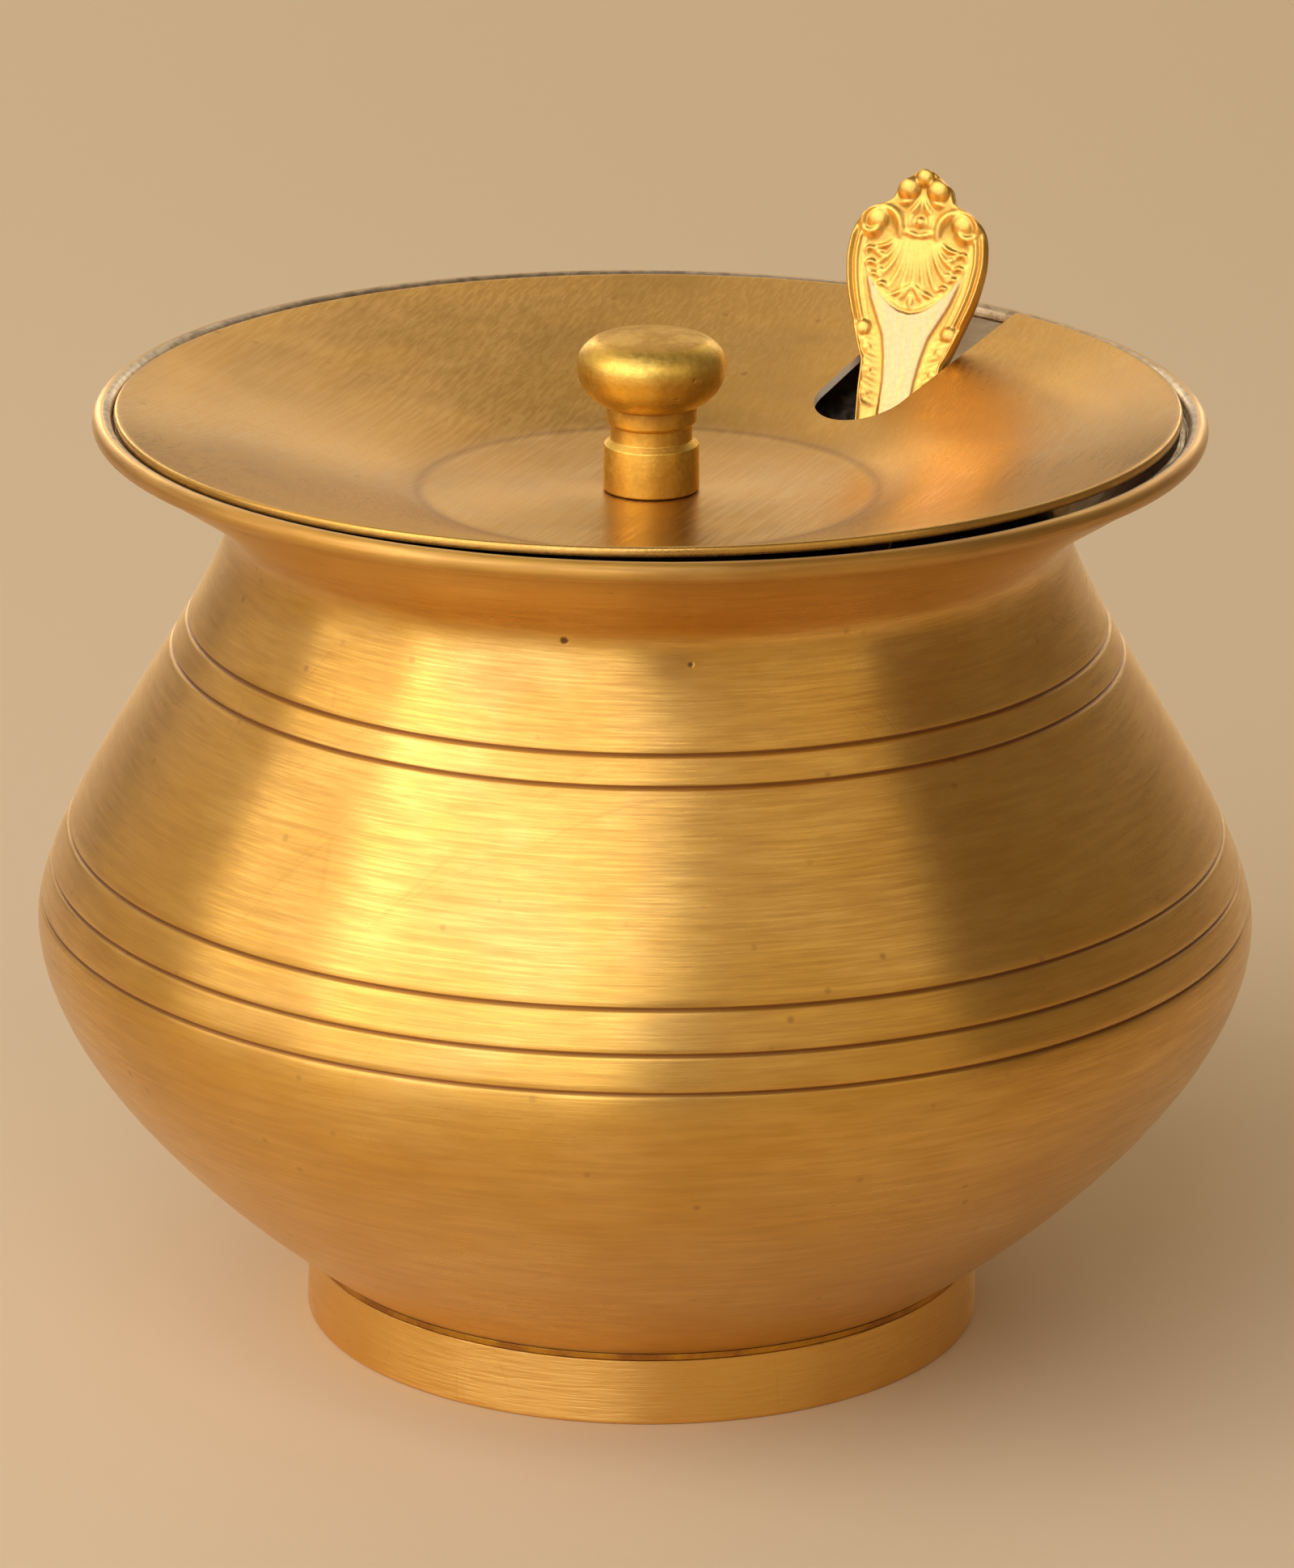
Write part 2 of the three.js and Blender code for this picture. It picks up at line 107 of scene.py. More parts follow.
# Spoon
SPOON_LEAN = Vector((0.169, 0.45, 1))
SPOON_TURN = math.radians(24)
SPOON_HEAD_WIDTH = 14.5
SPOON_HEAD_LENGTH = 18.9
SPOON_WAIST_WIDTH = 8.5
SPOON_WAIST_LENGTH = 6
SPOON_TAPER_LENGTH = 15
SPOON_STEM_WIDTH = 4
SPOON_BOWL_WIDTH = 22
SPOON_BOWL_LENGTH = 36
SPOON_BOWL_DEPTH = 5
SPOON_THICKNESS = 1.9
SPOON_BOWL_THICKNESS = 1.3
SPOON_TIP_BEND = 1.6
SPOON_STEM_BOW = 1
RELIEF = 0.46
RELIEF_END = 1.45 * SPOON_HEAD_LENGTH

# Camera
CAMERA_PLACE = (0.00004, -0.6604, 0.2697)
CAMERA_PITCH = math.radians(18.29)
CAMERA_ROLL = math.radians(0.589)
FOCAL_PIXELS = 9181
PHOTO_HEIGHT = 1939
SENSOR = 36

ROUND = 240
LIT_REACH = 1.25

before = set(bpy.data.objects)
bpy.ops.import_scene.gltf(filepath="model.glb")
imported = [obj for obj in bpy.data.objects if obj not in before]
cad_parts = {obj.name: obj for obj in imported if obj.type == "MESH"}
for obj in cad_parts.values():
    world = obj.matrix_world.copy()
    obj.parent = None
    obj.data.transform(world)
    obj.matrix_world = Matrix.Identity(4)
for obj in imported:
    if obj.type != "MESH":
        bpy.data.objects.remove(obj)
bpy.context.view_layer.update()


# Curves in the plane of a profile: each point is a radius and a height
def bezier(points, steps):
    t = np.linspace(0, 1, steps + 1)[:, None]
    order = len(points) - 1
    terms = [
        math.comb(order, i) * (1 - t) ** (order - i) * t**i * np.array(p, float)
        for i, p in enumerate(points)
    ]
    return sum(terms)


def polar(centre, radius, degrees):
    turn = math.radians(degrees)
    return (centre[0] + radius * math.cos(turn), centre[1] + radius * math.sin(turn))


def bell(away, width):
    return np.exp(-((away / width) ** 2))


def unit(values):
    """The values, kept between 0 and 1."""
    return np.clip(values, 0, 1)


def arc(centre, radius, start, end, steps):
    return np.array([polar(centre, radius, a) for a in np.linspace(start, end, steps + 1)])


def rounded(corners, radii, steps=6):
    """A closed outline with each corner rounded by its own radius."""
    out = []
    count = len(corners)
    for i, (corner, radius) in enumerate(zip(corners, radii)):
        corner = np.array(corner, float)
        if radius == 0:
            out.append([corner])
            continue
        before = np.array(corners[i - 1], float) - corner
        after = np.array(corners[(i + 1) % count], float) - corner
        before /= np.linalg.norm(before)
        after /= np.linalg.norm(after)
        reach = radius / math.tan(math.acos(np.clip(before @ after, -1, 1)) / 2)
        out.append(bezier([corner + before * reach, corner, corner + after * reach], steps))
    return np.concatenate(out)


def moved_left(line, distances):
    """The line moved to its left by a distance at each point; on the axis it moves straight up."""
    along = np.gradient(line, axis=0)
    along /= np.linalg.norm(along, axis=1)[:, None]
    out = line + np.stack([-along[:, 1], along[:, 0]], axis=1) * distances[:, None]
    on_axis = line[:, 0] == 0
    out[on_axis, 0] = 0
    out[on_axis, 1] = line[on_axis, 1] + distances[on_axis]
    return out


# Node helpers
def fill(made, inputs):
    """Sets a node's inputs, or links them where another node's socket is given."""
    for key, value in inputs.items():
        socket = made.inputs[key]
        if isinstance(value, bpy.types.NodeSocket):
            made.id_data.links.new(value, socket)
        else:
            socket.default_value = value
    return made


def add(tree, kind, inputs=None, **settings):
    made = tree.nodes.new(kind)
    for key, value in settings.items():
        setattr(made, key, value)
    return fill(made, inputs or {})


def node(kind, inputs, **settings):
    """A new node in the tree of the sockets among its inputs."""
    tree = next(value.id_data for value in inputs.values() if isinstance(value, bpy.types.NodeSocket))
    return add(tree, kind, inputs, **settings)


def calc(operation, *values):
    return node("ShaderNodeMath", dict(enumerate(values)), operation=operation).outputs[0]


times = partial(calc, "MULTIPLY")
plus = partial(calc, "ADD")
minus = partial(calc, "SUBTRACT")


def highest(first, *others):
    for other in others:
        first = calc("MAXIMUM", first, other)
    return first


def split(vector):
    return node("ShaderNodeSeparateXYZ", {0: vector}).outputs


def joined(*parts):
    return node("ShaderNodeCombineXYZ", dict(enumerate(parts))).outputs[0]


# Meshes
def placed(name, data):
    """A new object in the scene."""
    item = bpy.data.objects.new(name, data)
    bpy.context.scene.collection.objects.link(item)
    return item


def evaluated(item):
    """The mesh that an object's modifiers make of it."""
    depsgraph = bpy.context.evaluated_depsgraph_get()
    return bpy.data.meshes.new_from_object(item.evaluated_get(depsgraph))


def finished(name, mesh, material, body, stands_for, sharp=35):
    """Puts a mesh in the scene as the piece that stands for a node of the frame."""
    mesh.polygons.foreach_set("use_smooth", [True] * len(mesh.polygons))
    mesh.set_sharp_from_angle(angle=math.radians(sharp))
    piece = placed(name, mesh)
    if not mesh.materials:
        mesh.materials.append(material)
    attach(piece, body)
    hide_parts(stands_for)


def turned_tree():
    """A Geometry Nodes tree that turns a profile, a line in the XZ plane, round the Z axis."""
    tree = bpy.data.node_groups.new("Turned piece", "GeometryNodeTree")
    inputs = {"Profile": "Geometry", "Steps round": "Int", "Metal": "Material"}
    for label, kind in inputs.items():
        tree.interface.new_socket(label, in_out="INPUT", socket_type="NodeSocket" + kind)
    tree.interface.new_socket("Turned", in_out="OUTPUT", socket_type="NodeSocketGeometry")
    given = add(tree, "NodeGroupInput").outputs
    rings = node("GeometryNodeAttributeDomainSize", {0: given["Profile"]}).outputs["Point Count"]
    columns = plus(given["Steps round"], 1.0)
    grid = node("GeometryNodeMeshGrid", {"Vertices X": rings, "Vertices Y": columns}).outputs
    index = add(tree, "GeometryNodeInputIndex").outputs[0]
    ring = calc("FLOOR", calc("DIVIDE", index, columns))
    share = calc("DIVIDE", minus(index, times(ring, columns)), given["Steps round"])

    def of_ring(kind, value):
        inputs = {"Geometry": given["Profile"], "Value": value, "Index": ring}
        return node("GeometryNodeSampleIndex", inputs, data_type=kind, domain="POINT").outputs[0]

    def stored(geometry, name, kind, domain, value):
        inputs = {"Geometry": geometry, "Name": name, "Value": value}
        made = node("GeometryNodeStoreNamedAttribute", inputs, data_type=kind, domain=domain)
        return made.outputs[0]

    def mark(name):
        made = add(tree, "GeometryNodeInputNamedAttribute", {"Name": name}, data_type="FLOAT")
        return of_ring("FLOAT", made.outputs[0])

    place = of_ring("FLOAT_VECTOR", add(tree, "GeometryNodeInputPosition").outputs[0])
    inputs = {"Vector": place, "Angle": times(share, 2 * math.pi)}
    turned_place = node("ShaderNodeVectorRotate", inputs, rotation_type="Z_AXIS").outputs[0]
    inputs = {"Geometry": grid["Mesh"], "Position": turned_place}
    geometry = node("GeometryNodeSetPosition", inputs).outputs[0]
    for name in ("patina_and_shade", "tin"):
        geometry = stored(geometry, name, "FLOAT", "POINT", mark(name))
    map_point = {0: joined(share, mark("along"))}
    at_points = node("GeometryNodeFieldOnDomain", map_point, data_type="FLOAT_VECTOR", domain="POINT")
    geometry = stored(geometry, "turning", "FLOAT2", "CORNER", at_points.outputs[0])
    merged = node("GeometryNodeMergeByDistance", {"Geometry": geometry, "Distance": 1e-6}).outputs[0]
    flipped = node("GeometryNodeFlipFaces", {0: merged}).outputs[0]
    real = node("GeometryNodeRealizeInstances", {0: flipped}).outputs[0]
    dressed = node("GeometryNodeSetMaterial", {"Geometry": real, "Material": given["Metal"]})
    add(tree, "NodeGroupOutput", {0: dressed.outputs[0]})
    return tree


def turned(name, profile, material, marks=None, steps=ROUND):
    """A solid turned about Z, with its metal on the left of the profile, as a plain mesh. Its UV map
    holds the turn and the distance along the profile, and marks are values for each profile point."""
    marks = marks or {}
    if profile[0, 0] != 0:
        profile = np.concatenate([profile, profile[:1]])
        marks = {key: np.append(value, value[0]) for key, value in marks.items()}
    lengths = np.linalg.norm(np.diff(profile, axis=0), axis=1)
    marks = dict(marks, along=np.concatenate([[0], np.cumsum(lengths)]) * MM)
    line = bpy.data.meshes.new("profile")
    edges = [(i, i + 1) for i in range(len(profile) - 1)]
    line.from_pydata([(r * MM, 0, z * MM) for r, z in profile], edges, [])
    for key, value in marks.items():
        line.attributes.new(key, "FLOAT", "POINT").data.foreach_set("value", value)
    holder = placed("profile", line)
    lathe = holder.modifiers.new("lathe", "NODES")
    lathe.node_group = turning_tree
    values = {"Steps round": steps, "Metal": material}
    for item in turning_tree.interface.items_tree:
        if item.name in values:
            lathe[item.identifier] = values[item.name]
    mesh = evaluated(holder)
    bpy.data.objects.remove(holder)
    bpy.data.meshes.remove(line)
    mesh.name = name
    return mesh


def turned_piece(name, profile, material, body, stands_for, marks=None):
    mesh = turned(name, profile, material, marks)
    finished(name, mesh, material, body, stands_for)


def cut_with(mesh, cutter):
    """The mesh with the cutter's solid taken away."""
    block = placed("cutter", cutter)
    piece = placed("uncut", mesh)
    cut = piece.modifiers.new("cut", "BOOLEAN")
    cut.operation = "DIFFERENCE"
    cut.solver = "EXACT"
    cut.object = block
    result = evaluated(piece)
    for item in (block, piece):
        bpy.data.objects.remove(item)
    result.name = mesh.name
    return result


def prism(outline, low, high):
    """An upright prism over an outline that runs anticlockwise."""
    count = len(outline)
    verts = [(x * MM, y * MM, z * MM) for z in (low, high) for x, y in outline]
    faces = [list(range(count))[::-1], list(range(count, 2 * count))]
    for i in range(count):
        j = (i + 1) % count
        faces.append([i, j, count + j, count + i])
    mesh = bpy.data.meshes.new("prism")
    mesh.from_pydata(verts, [], faces)
    return mesh


# Shader nodes
def remap(value, low, high, to_low=0.0, to_high=1.0):
    inputs = {"Value": value, "From Min": low, "From Max": high, "To Min": to_low, "To Max": to_high}
    return node("ShaderNodeMapRange", inputs, interpolation_type="SMOOTHSTEP").outputs[0]


def eased(value, to_low, to_high):
    """A smooth change between two ends, while the value goes from 0 to 1."""
    return remap(value, 0.0, 1.0, to_low, to_high)


def blend(share, first, second):
    return node("ShaderNodeMix", {0: share, 6: first, 7: second}, data_type="RGBA").outputs[2]


def attribute(tree, name):
    return add(tree, "ShaderNodeAttribute", attribute_name=name).outputs["Fac"]


def noise(vector, scale, detail=3.0, roughness=0.55):
    inputs = {"Vector": vector, "Scale": scale, "Detail": detail, "Roughness": roughness}
    return node("ShaderNodeTexNoise", inputs).outputs[0]


def voronoi(vector, scale, feature):
    return node("ShaderNodeTexVoronoi", {"Vector": vector, "Scale": scale}, feature=feature).outputs


def mapped(vector, kind="POINT", **inputs):
    return node("ShaderNodeMapping", {"Vector": vector, **inputs}, vector_type=kind).outputs[0]


def new_group(name, values, outputs):
    """A node group that takes a place and some values, and gives some values."""
    tree = bpy.data.node_groups.new(name, "ShaderNodeTree")
    tree.interface.new_socket("Place", in_out="INPUT", socket_type="NodeSocketVector")
    for way, labels in (("INPUT", values), ("OUTPUT", outputs)):
        for label in labels:
            tree.interface.new_socket(label, in_out=way, socket_type="NodeSocketFloat")
    return tree, add(tree, "NodeGroupInput").outputs, add(tree, "NodeGroupOutput")


def turning_lines_group():
    """Fine lines that run round the axis, broken up along their length, and broad tone bands."""
    values = ["Along", "Breaks round", "Line pitch mm"]
    tree, given, out = new_group("Turning lines", values, ["Lines", "Bands"])
    place = split(given["Place"])
    flat = joined(place[0], place[1])
    round_unit = node("ShaderNodeVectorMath", {0: flat}, operation="NORMALIZE").outputs[0]
    spread = node("ShaderNodeVectorMath", {0: round_unit, 3: given["Breaks round"]}, operation="SCALE")
    turn = split(spread.outputs[0])
    step = calc("DIVIDE", given["Along"], times(given["Line pitch mm"], MM))
    lines = noise(joined(turn[0], turn[1], step), 1.0, 4.0, 0.62)
    bands = noise(joined(turn[0], turn[1], times(step, 0.055)), 0.5, 3.0, 0.6)
    fill(out, {"Lines": remap(lines, 0.3, 0.7), "Bands": remap(bands, 0.3, 0.7)})
    return tree


def tarnish_group():
    """Cloudy tarnish and small dark specks."""
    values = ["Cloud size mm", "Speck size mm"]
    tree, given, out = new_group("Tarnish", values, ["Cloud", "Specks"])
    cloud_scale = calc("DIVIDE", 1 / MM, given["Cloud size mm"])
    cloud = remap(noise(given["Place"], cloud_scale, 4.0, 0.6), 0.34, 0.68)
    cells = voronoi(given["Place"], calc("DIVIDE", 1 / MM, given["Speck size mm"]), "F1")
    near = remap(cells["Distance"], 0.3, 0.1)
    pick = node("ShaderNodeSeparateColor", {0: cells["Color"]}).outputs[0]
    fill(out, {"Cloud": cloud, "Specks": times(near, remap(pick, 0.94, 0.99))})
    return tree


def scratches_group():
    """Thin stray scratches that lie across the turning lines."""
    tree, given, out = new_group("Scratches", ["Size mm"], ["Scratches"])
    scale = calc("DIVIDE", 1 / MM, given["Size mm"])
    lines = []
    for turn in ((0.4, 0.9, 0.3), (1.3, -0.5, 0.8)):
        laid = mapped(given["Place"], Rotation=turn, Scale=(1.0, 7.0, 1.0))
        thin = remap(voronoi(laid, scale, "DISTANCE_TO_EDGE")["Distance"], 0.012, 0.0)
        lines.append(times(thin, remap(noise(laid, scale, 2.0), 0.56, 0.66)))
    fill(out, {"Scratches": highest(*lines)})
    return tree


turning_tree = turned_tree()
turning_lines = turning_lines_group()
tarnish = tarnish_group()
scratches = scratches_group()


def use(group, inputs):
    return node("ShaderNodeGroup", inputs, node_tree=group).outputs


def brushing(place, along, pitch, breaks=6.0):
    inputs = {"Place": place, "Along": along, "Breaks round": breaks, "Line pitch mm": pitch}
    return use(turning_lines, inputs)


def stains(place, cloud, speck):
    return use(tarnish, {"Place": place, "Cloud size mm": cloud, "Speck size mm": speck})


def stray_lines(place, size):
    return use(scratches, {"Place": place, "Size mm": size})[0]


def new_material(name):
    """A material, its node tree and its shader."""
    material = bpy.data.materials.new(name)
    material.use_nodes = True
    return material, material.node_tree, material.node_tree.nodes["Principled BSDF"]


def metal(name, anisotropy=0.0):
    """A new metal, on which any brushing runs round the axis."""
    material, tree, shader = new_material(name)
    fill(shader, {"Metallic": 1.0})
    if anisotropy:
        tangent = add(tree, "ShaderNodeTangent", direction_type="RADIAL", axis="Z").outputs[0]
        fill(shader, {"Anisotropic": anisotropy, "Anisotropic Rotation": 0.25, "Tangent": tangent})
    return material, tree, shader


def places(tree):
    """Object coordinates, and the distance along a turned piece's profile."""
    place = add(tree, "ShaderNodeTexCoord").outputs["Object"]
    return place, split(add(tree, "ShaderNodeUVMap", uv_map="turning").outputs[0])[1]


def dress(shader, colour, roughness, height, depth):
    bump = node("ShaderNodeBump", {"Height": height, "Distance": depth, "Strength": 1.0}).outputs[0]
    fill(shader, {"Base Color": colour, "Roughness": roughness, "Normal": bump})


def spots(place, spot_list):
    """A mask of small pits, each a place in millimetres and a radius."""
    pits = []
    for centre, radius in spot_list:
        inputs = {0: place, 1: tuple(c * MM for c in centre)}
        away = node("ShaderNodeVectorMath", inputs, operation="DISTANCE").outputs["Value"]
        pits.append(remap(away, radius * MM, radius * MM * 0.35))
    return highest(*pits)


BRASS = (0.79, 0.44, 0.075, 1)
BRASS_PALE = (0.89, 0.56, 0.165, 1)
BRASS_DEEP = (0.6, 0.3, 0.035, 1)
BRASS_STREAK = (0.5, 0.23, 0.03, 1)
GROOVE_BROWN = (0.36, 0.14, 0.03, 1)
PATINA_AND_SHADE = (0.2, 0.075, 0.018, 1)
TIN = (0.6, 0.47, 0.33, 1)
TIN_DARK = (0.34, 0.25, 0.16, 1)
TIN_PALE = (0.64, 0.58, 0.49, 1)
FOOT_BRASS = (0.9, 0.53, 0.14, 1)
LID_BRASS = (0.64, 0.375, 0.108, 1)
LID_BRASS_DULL = (0.53, 0.305, 0.088, 1)
KNOB_BRASS = (0.87, 0.585, 0.125, 1)
SPOON_GOLD = (0.76, 0.425, 0.1, 1)
SPOON_PALE = (0.68, 0.39, 0.2, 1)
SPOON_HOLLOW = (0.5, 0.27, 0.05, 1)
FLOOR_TONE = (0.7, 0.55, 0.38, 1)

FINE_BUMP = 0.02 * MM
SPOON_BUMP = 0.025 * MM
TIN_BUMP = 0.06 * MM
BRAZE_BUMP = 0.1 * MM

PITS = (
    ((-7.34, -38.46, 77.3), 0.45),
    ((-7.4, -38.8, 79.0), 0.4),
    ((3.76, -39.0, 75.4), 0.4),
)


def body_brass():
    material, tree, shader = metal("Satin turned brass", 0.92)
    # a film of clear lacquer
    fill(shader, {"Coat Weight": 0.6, "Coat Roughness": 0.35})
    place, along = places(tree)
    lines = brushing(place, along, 0.22)
    streaks = brushing(place, along, 0.8, 7.0)["Lines"]
    clouds = stains(place, 22.0, 1.6)
    stray = stray_lines(place, 34.0)
    pits = spots(place, PITS)
    patina_and_shade = attribute(tree, "patina_and_shade")
    patchy = noise(place, 900.0)
    tinned = remap(plus(attribute(tree, "tin"), times(patchy, 0.5)), 0.62, 0.86)

    tone = blend(eased(lines["Bands"], 0.0, 0.55), BRASS, BRASS_PALE)
    tone = blend(eased(clouds["Cloud"], 0.0, 0.3), tone, BRASS_DEEP)
    tone = blend(times(lines["Lines"], 0.3), tone, BRASS_DEEP)
    tone = blend(times(streaks, 0.38), tone, BRASS_STREAK)
    tone = blend(patina_and_shade, tone, GROOVE_BROWN)
    marks = highest(times(clouds["Specks"], 0.3), pits, times(stray, 0.07))
    tone = blend(marks, tone, PATINA_AND_SHADE)
    tone = blend(tinned, tone, blend(remap(patchy, 0.35, 0.7), TIN, TIN_DARK))

    rough = plus(eased(lines["Lines"], 0.26, 0.36), times(clouds["Cloud"], 0.04))
    rough = plus(rough, times(highest(marks, patina_and_shade), 0.3))
    height = minus(times(lines["Lines"], 0.35), times(stray, 0.2))
    height = minus(height, times(pits, 8.0))
    height = plus(height, times(times(patchy, tinned), 2.0))
    dress(shader, tone, rough, height, FINE_BUMP)
    return material


def foot_brass():
    material, tree, shader = metal("Filed foot brass", 0.85)
    place, along = places(tree)
    lines = brushing(place, along, 0.3)
    clouds = stains(place, 12.0, 1.3)
    stray = stray_lines(place, 14.0)
    band = attribute(tree, "patina_and_shade")
    marks = noise(place, 700.0, 4.0, 0.7)
    stain = remap(plus(band, times(marks, 0.5)), 0.6, 1.2)
    tone = blend(eased(lines["Bands"], 0.0, 0.6), FOOT_BRASS, BRASS_PALE)
    tone = blend(eased(clouds["Cloud"], 0.0, 0.3), tone, BRASS)
    tone = blend(times(stain, 0.8), tone, GROOVE_BROWN)
    tone = blend(times(stray, 0.15), tone, PATINA_AND_SHADE)
    rough = plus(eased(lines["Lines"], 0.28, 0.42), times(stain, 0.25))
    filed = times(times(marks, band), 5.0)
    height = minus(plus(lines["Lines"], filed), times(stray, 0.4))
    dress(shader, tone, rough, height, FINE_BUMP)
    return material


def braze_metal():
    material, tree, shader = metal("Braze seam")
    place = places(tree)[0]
    clouds = stains(place, 5.0, 0.8)
    grain = noise(place, 1400.0, 4.0, 0.7)
    tone = blend(clouds["Cloud"], BRASS_DEEP, GROOVE_BROWN)
    tone = blend(times(clouds["Specks"], 0.8), tone, BRASS)
    dress(shader, tone, remap(grain, 0.3, 0.7, 0.42, 0.68), grain, BRAZE_BUMP)
    return material


def tin_metal():
    material, tree, shader = metal("Wiped tin")
    place, along = places(tree)
    wiped = brushing(place, along, 1.6, 3.0)
    clouds = stains(place, 9.0, 1.6)
    grain = noise(place, 900.0, 4.0, 0.6)
    tone = blend(eased(clouds["Cloud"], 0.0, 0.45), TIN, TIN_DARK)
    tone = blend(times(wiped["Bands"], 0.3), tone, TIN_PALE)
    height = plus(wiped["Lines"], times(grain, 0.6))
    dress(shader, tone, remap(grain, 0.3, 0.7, 0.3, 0.5), height, TIN_BUMP)
    return material


def lid_brass():
    material, tree, shader = metal("Dull spun brass", 0.7)
    place, along = places(tree)
    centred = mapped(place, Location=(-LID_SHIFT * MM, 0, 0))
    bands = brushing(centred, along, 0.2, 2.5)["Bands"]
    clouds = stains(place, 17.0, 1.8)
    stray = stray_lines(place, 26.0)
    tone = blend(eased(clouds["Cloud"], 0.0, 0.7), LID_BRASS, LID_BRASS_DULL)
    tone = blend(eased(bands, 0.0, 0.3), tone, BRASS)
    # straight brushing that runs from the front to the back, and a little to the right
    laid = mapped(place, "TEXTURE", Rotation=(0.0, 0.0, 1.2), Scale=(24.0, 1.0, 1.0))
    brushed = remap(noise(laid, 2600.0, 4.0, 0.6), 0.3, 0.7)
    tone = blend(times(brushed, 0.3), tone, BRASS_DEEP)
    marks = highest(times(clouds["Specks"], 0.3), times(stray, 0.06))
    # on the lid the patina attribute holds the painted shade along the disc's crease, which takes the
    # patina colour here with the real specks and scratches
    tone = blend(highest(marks, attribute(tree, "patina_and_shade")), tone, PATINA_AND_SHADE)
    rough = plus(eased(brushed, 0.25, 0.34), times(clouds["Cloud"], 0.05))
    height = minus(times(brushed, 0.2), times(stray, 0.25))
    dress(shader, tone, rough, height, FINE_BUMP)
    return material


def knob_brass():
    material, tree, shader = metal("Satin knob brass", 0.2)
    place, along = places(tree)
    lines = brushing(place, along, 0.3, 3.0)["Lines"]
    clouds = stains(place, 3.2, 0.8)
    grain = noise(place, 1500.0, 3.0, 0.6)
    mottle = remap(noise(place, 2600.0, 4.0, 0.7), 0.36, 0.66)
    patina_and_shade = times(attribute(tree, "patina_and_shade"), eased(clouds["Cloud"], 0.65, 1.3))
    tone = blend(eased(clouds["Cloud"], 0.0, 0.3), KNOB_BRASS, BRASS_DEEP)
    tone = blend(times(lines, 0.06), tone, BRASS_PALE)
    tone = blend(times(mottle, 0.3), tone, BRASS_DEEP)
    dark = highest(times(clouds["Specks"], 0.5), patina_and_shade)
    tone = blend(dark, tone, GROOVE_BROWN)
    rough = plus(remap(grain, 0.3, 0.7, 0.36, 0.48), times(dark, 0.3))
    height = minus(plus(times(lines, 0.25), grain), times(clouds["Specks"], 1.5))
    dress(shader, tone, rough, height, FINE_BUMP)
    return material


def spoon_brass():
    material, tree, shader = metal("Cast and polished spoon brass")
    place = add(tree, "ShaderNodeTexCoord").outputs["Object"]
    clouds = stains(place, 5.0, 0.7)
    grain = noise(place, 2600.0, 3.0, 0.6)
    tone = blend(eased(clouds["Cloud"], 0.0, 0.3), SPOON_GOLD, KNOB_BRASS)
    dark = remap(plus(attribute(tree, "hollow"), times(grain, 0.25)), 0.2, 1.0)
    tone = blend(dark, tone, SPOON_HOLLOW)
    # the plain panel is rubbed pale along the handle
    lean = Vector((0, 0, 1)).rotation_difference(spoon_axis).to_euler()
    laid = mapped(place, "TEXTURE", Rotation=tuple(lean), Scale=(1.0, 1.0, 14.0))
    rubbed = remap(noise(laid, 1600.0, 3.0, 0.6), 0.3, 0.7)
    plain = times(attribute(tree, "plain"), eased(rubbed, 1.0, 0.55))
    tone = blend(plain, tone, SPOON_PALE)
    rough = plus(remap(grain, 0.3, 0.7, 0.32, 0.42), times(dark, 0.1))
    dress(shader, tone, rough, grain, SPOON_BUMP)
    return material


# The vessel's lines
seam_height = FOOT_HEIGHT + SEAM
lip_centre = (LIP_RADIUS - LIP_TUBE, MOUTH_HEIGHT - LIP_TUBE)
foot_slope = math.tan(FOOT_SLOPE)
foot_inner = FOOT_RADIUS - FOOT_WALL


def shell_line():
    """The outside of the vessel, from the middle of its underside up to the rolled lip."""
    base_edge = FOOT_RADIUS - (seam_height - BASE_LIFT) / foot_slope
    base = bezier([(0, BASE_LIFT), (base_edge, BASE_LIFT), (FOOT_RADIUS, seam_height)], 14)
    under = bezier(
        [
            (FOOT_RADIUS, seam_height),
            polar((FOOT_RADIUS, seam_height), FOOT_BEND, math.degrees(FOOT_SLOPE)),
            (BELLY_RADIUS, BELLY_HEIGHT - BELLY_UNDER_BEND),
            (BELLY_RADIUS, BELLY_HEIGHT),
        ],
        36,
    )
    over = bezier(
        [
            (BELLY_RADIUS, BELLY_HEIGHT),
            (BELLY_RADIUS, BELLY_HEIGHT + BELLY_OVER_BEND),
            (NECK_RADIUS, NECK_HEIGHT - NECK_UNDER_BEND),
            (NECK_RADIUS, NECK_HEIGHT),
        ],
        72,
    )
    end = polar(lip_centre, LIP_TUBE, LIP_UNDER)
    flare = bezier(
        [
            (NECK_RADIUS, NECK_HEIGHT),
            (NECK_RADIUS, NECK_HEIGHT + NECK_OVER_BEND),
            (end[0] - FLARE_BEND * math.cos(FLARE_SLOPE), end[1] - FLARE_BEND * math.sin(FLARE_SLOPE)),
            end,
        ],
        24,
    )
    return np.concatenate([base, under[1:], over[1:], flare[1:]]), len(base) + len(under) - 1


shell, belly_index = shell_line()
neck_index = np.argmin(np.where(shell[:, 1] > BELLY_HEIGHT, shell[:, 0], np.inf))
rim_share = unit((np.arange(len(shell)) - neck_index) / (len(shell) - 1 - neck_index))
inside = moved_left(shell, WALL + (RIM_WALL - WALL) * rim_share)
inside[-1] = polar(lip_centre, LIP_TUBE, LIP_INNER)


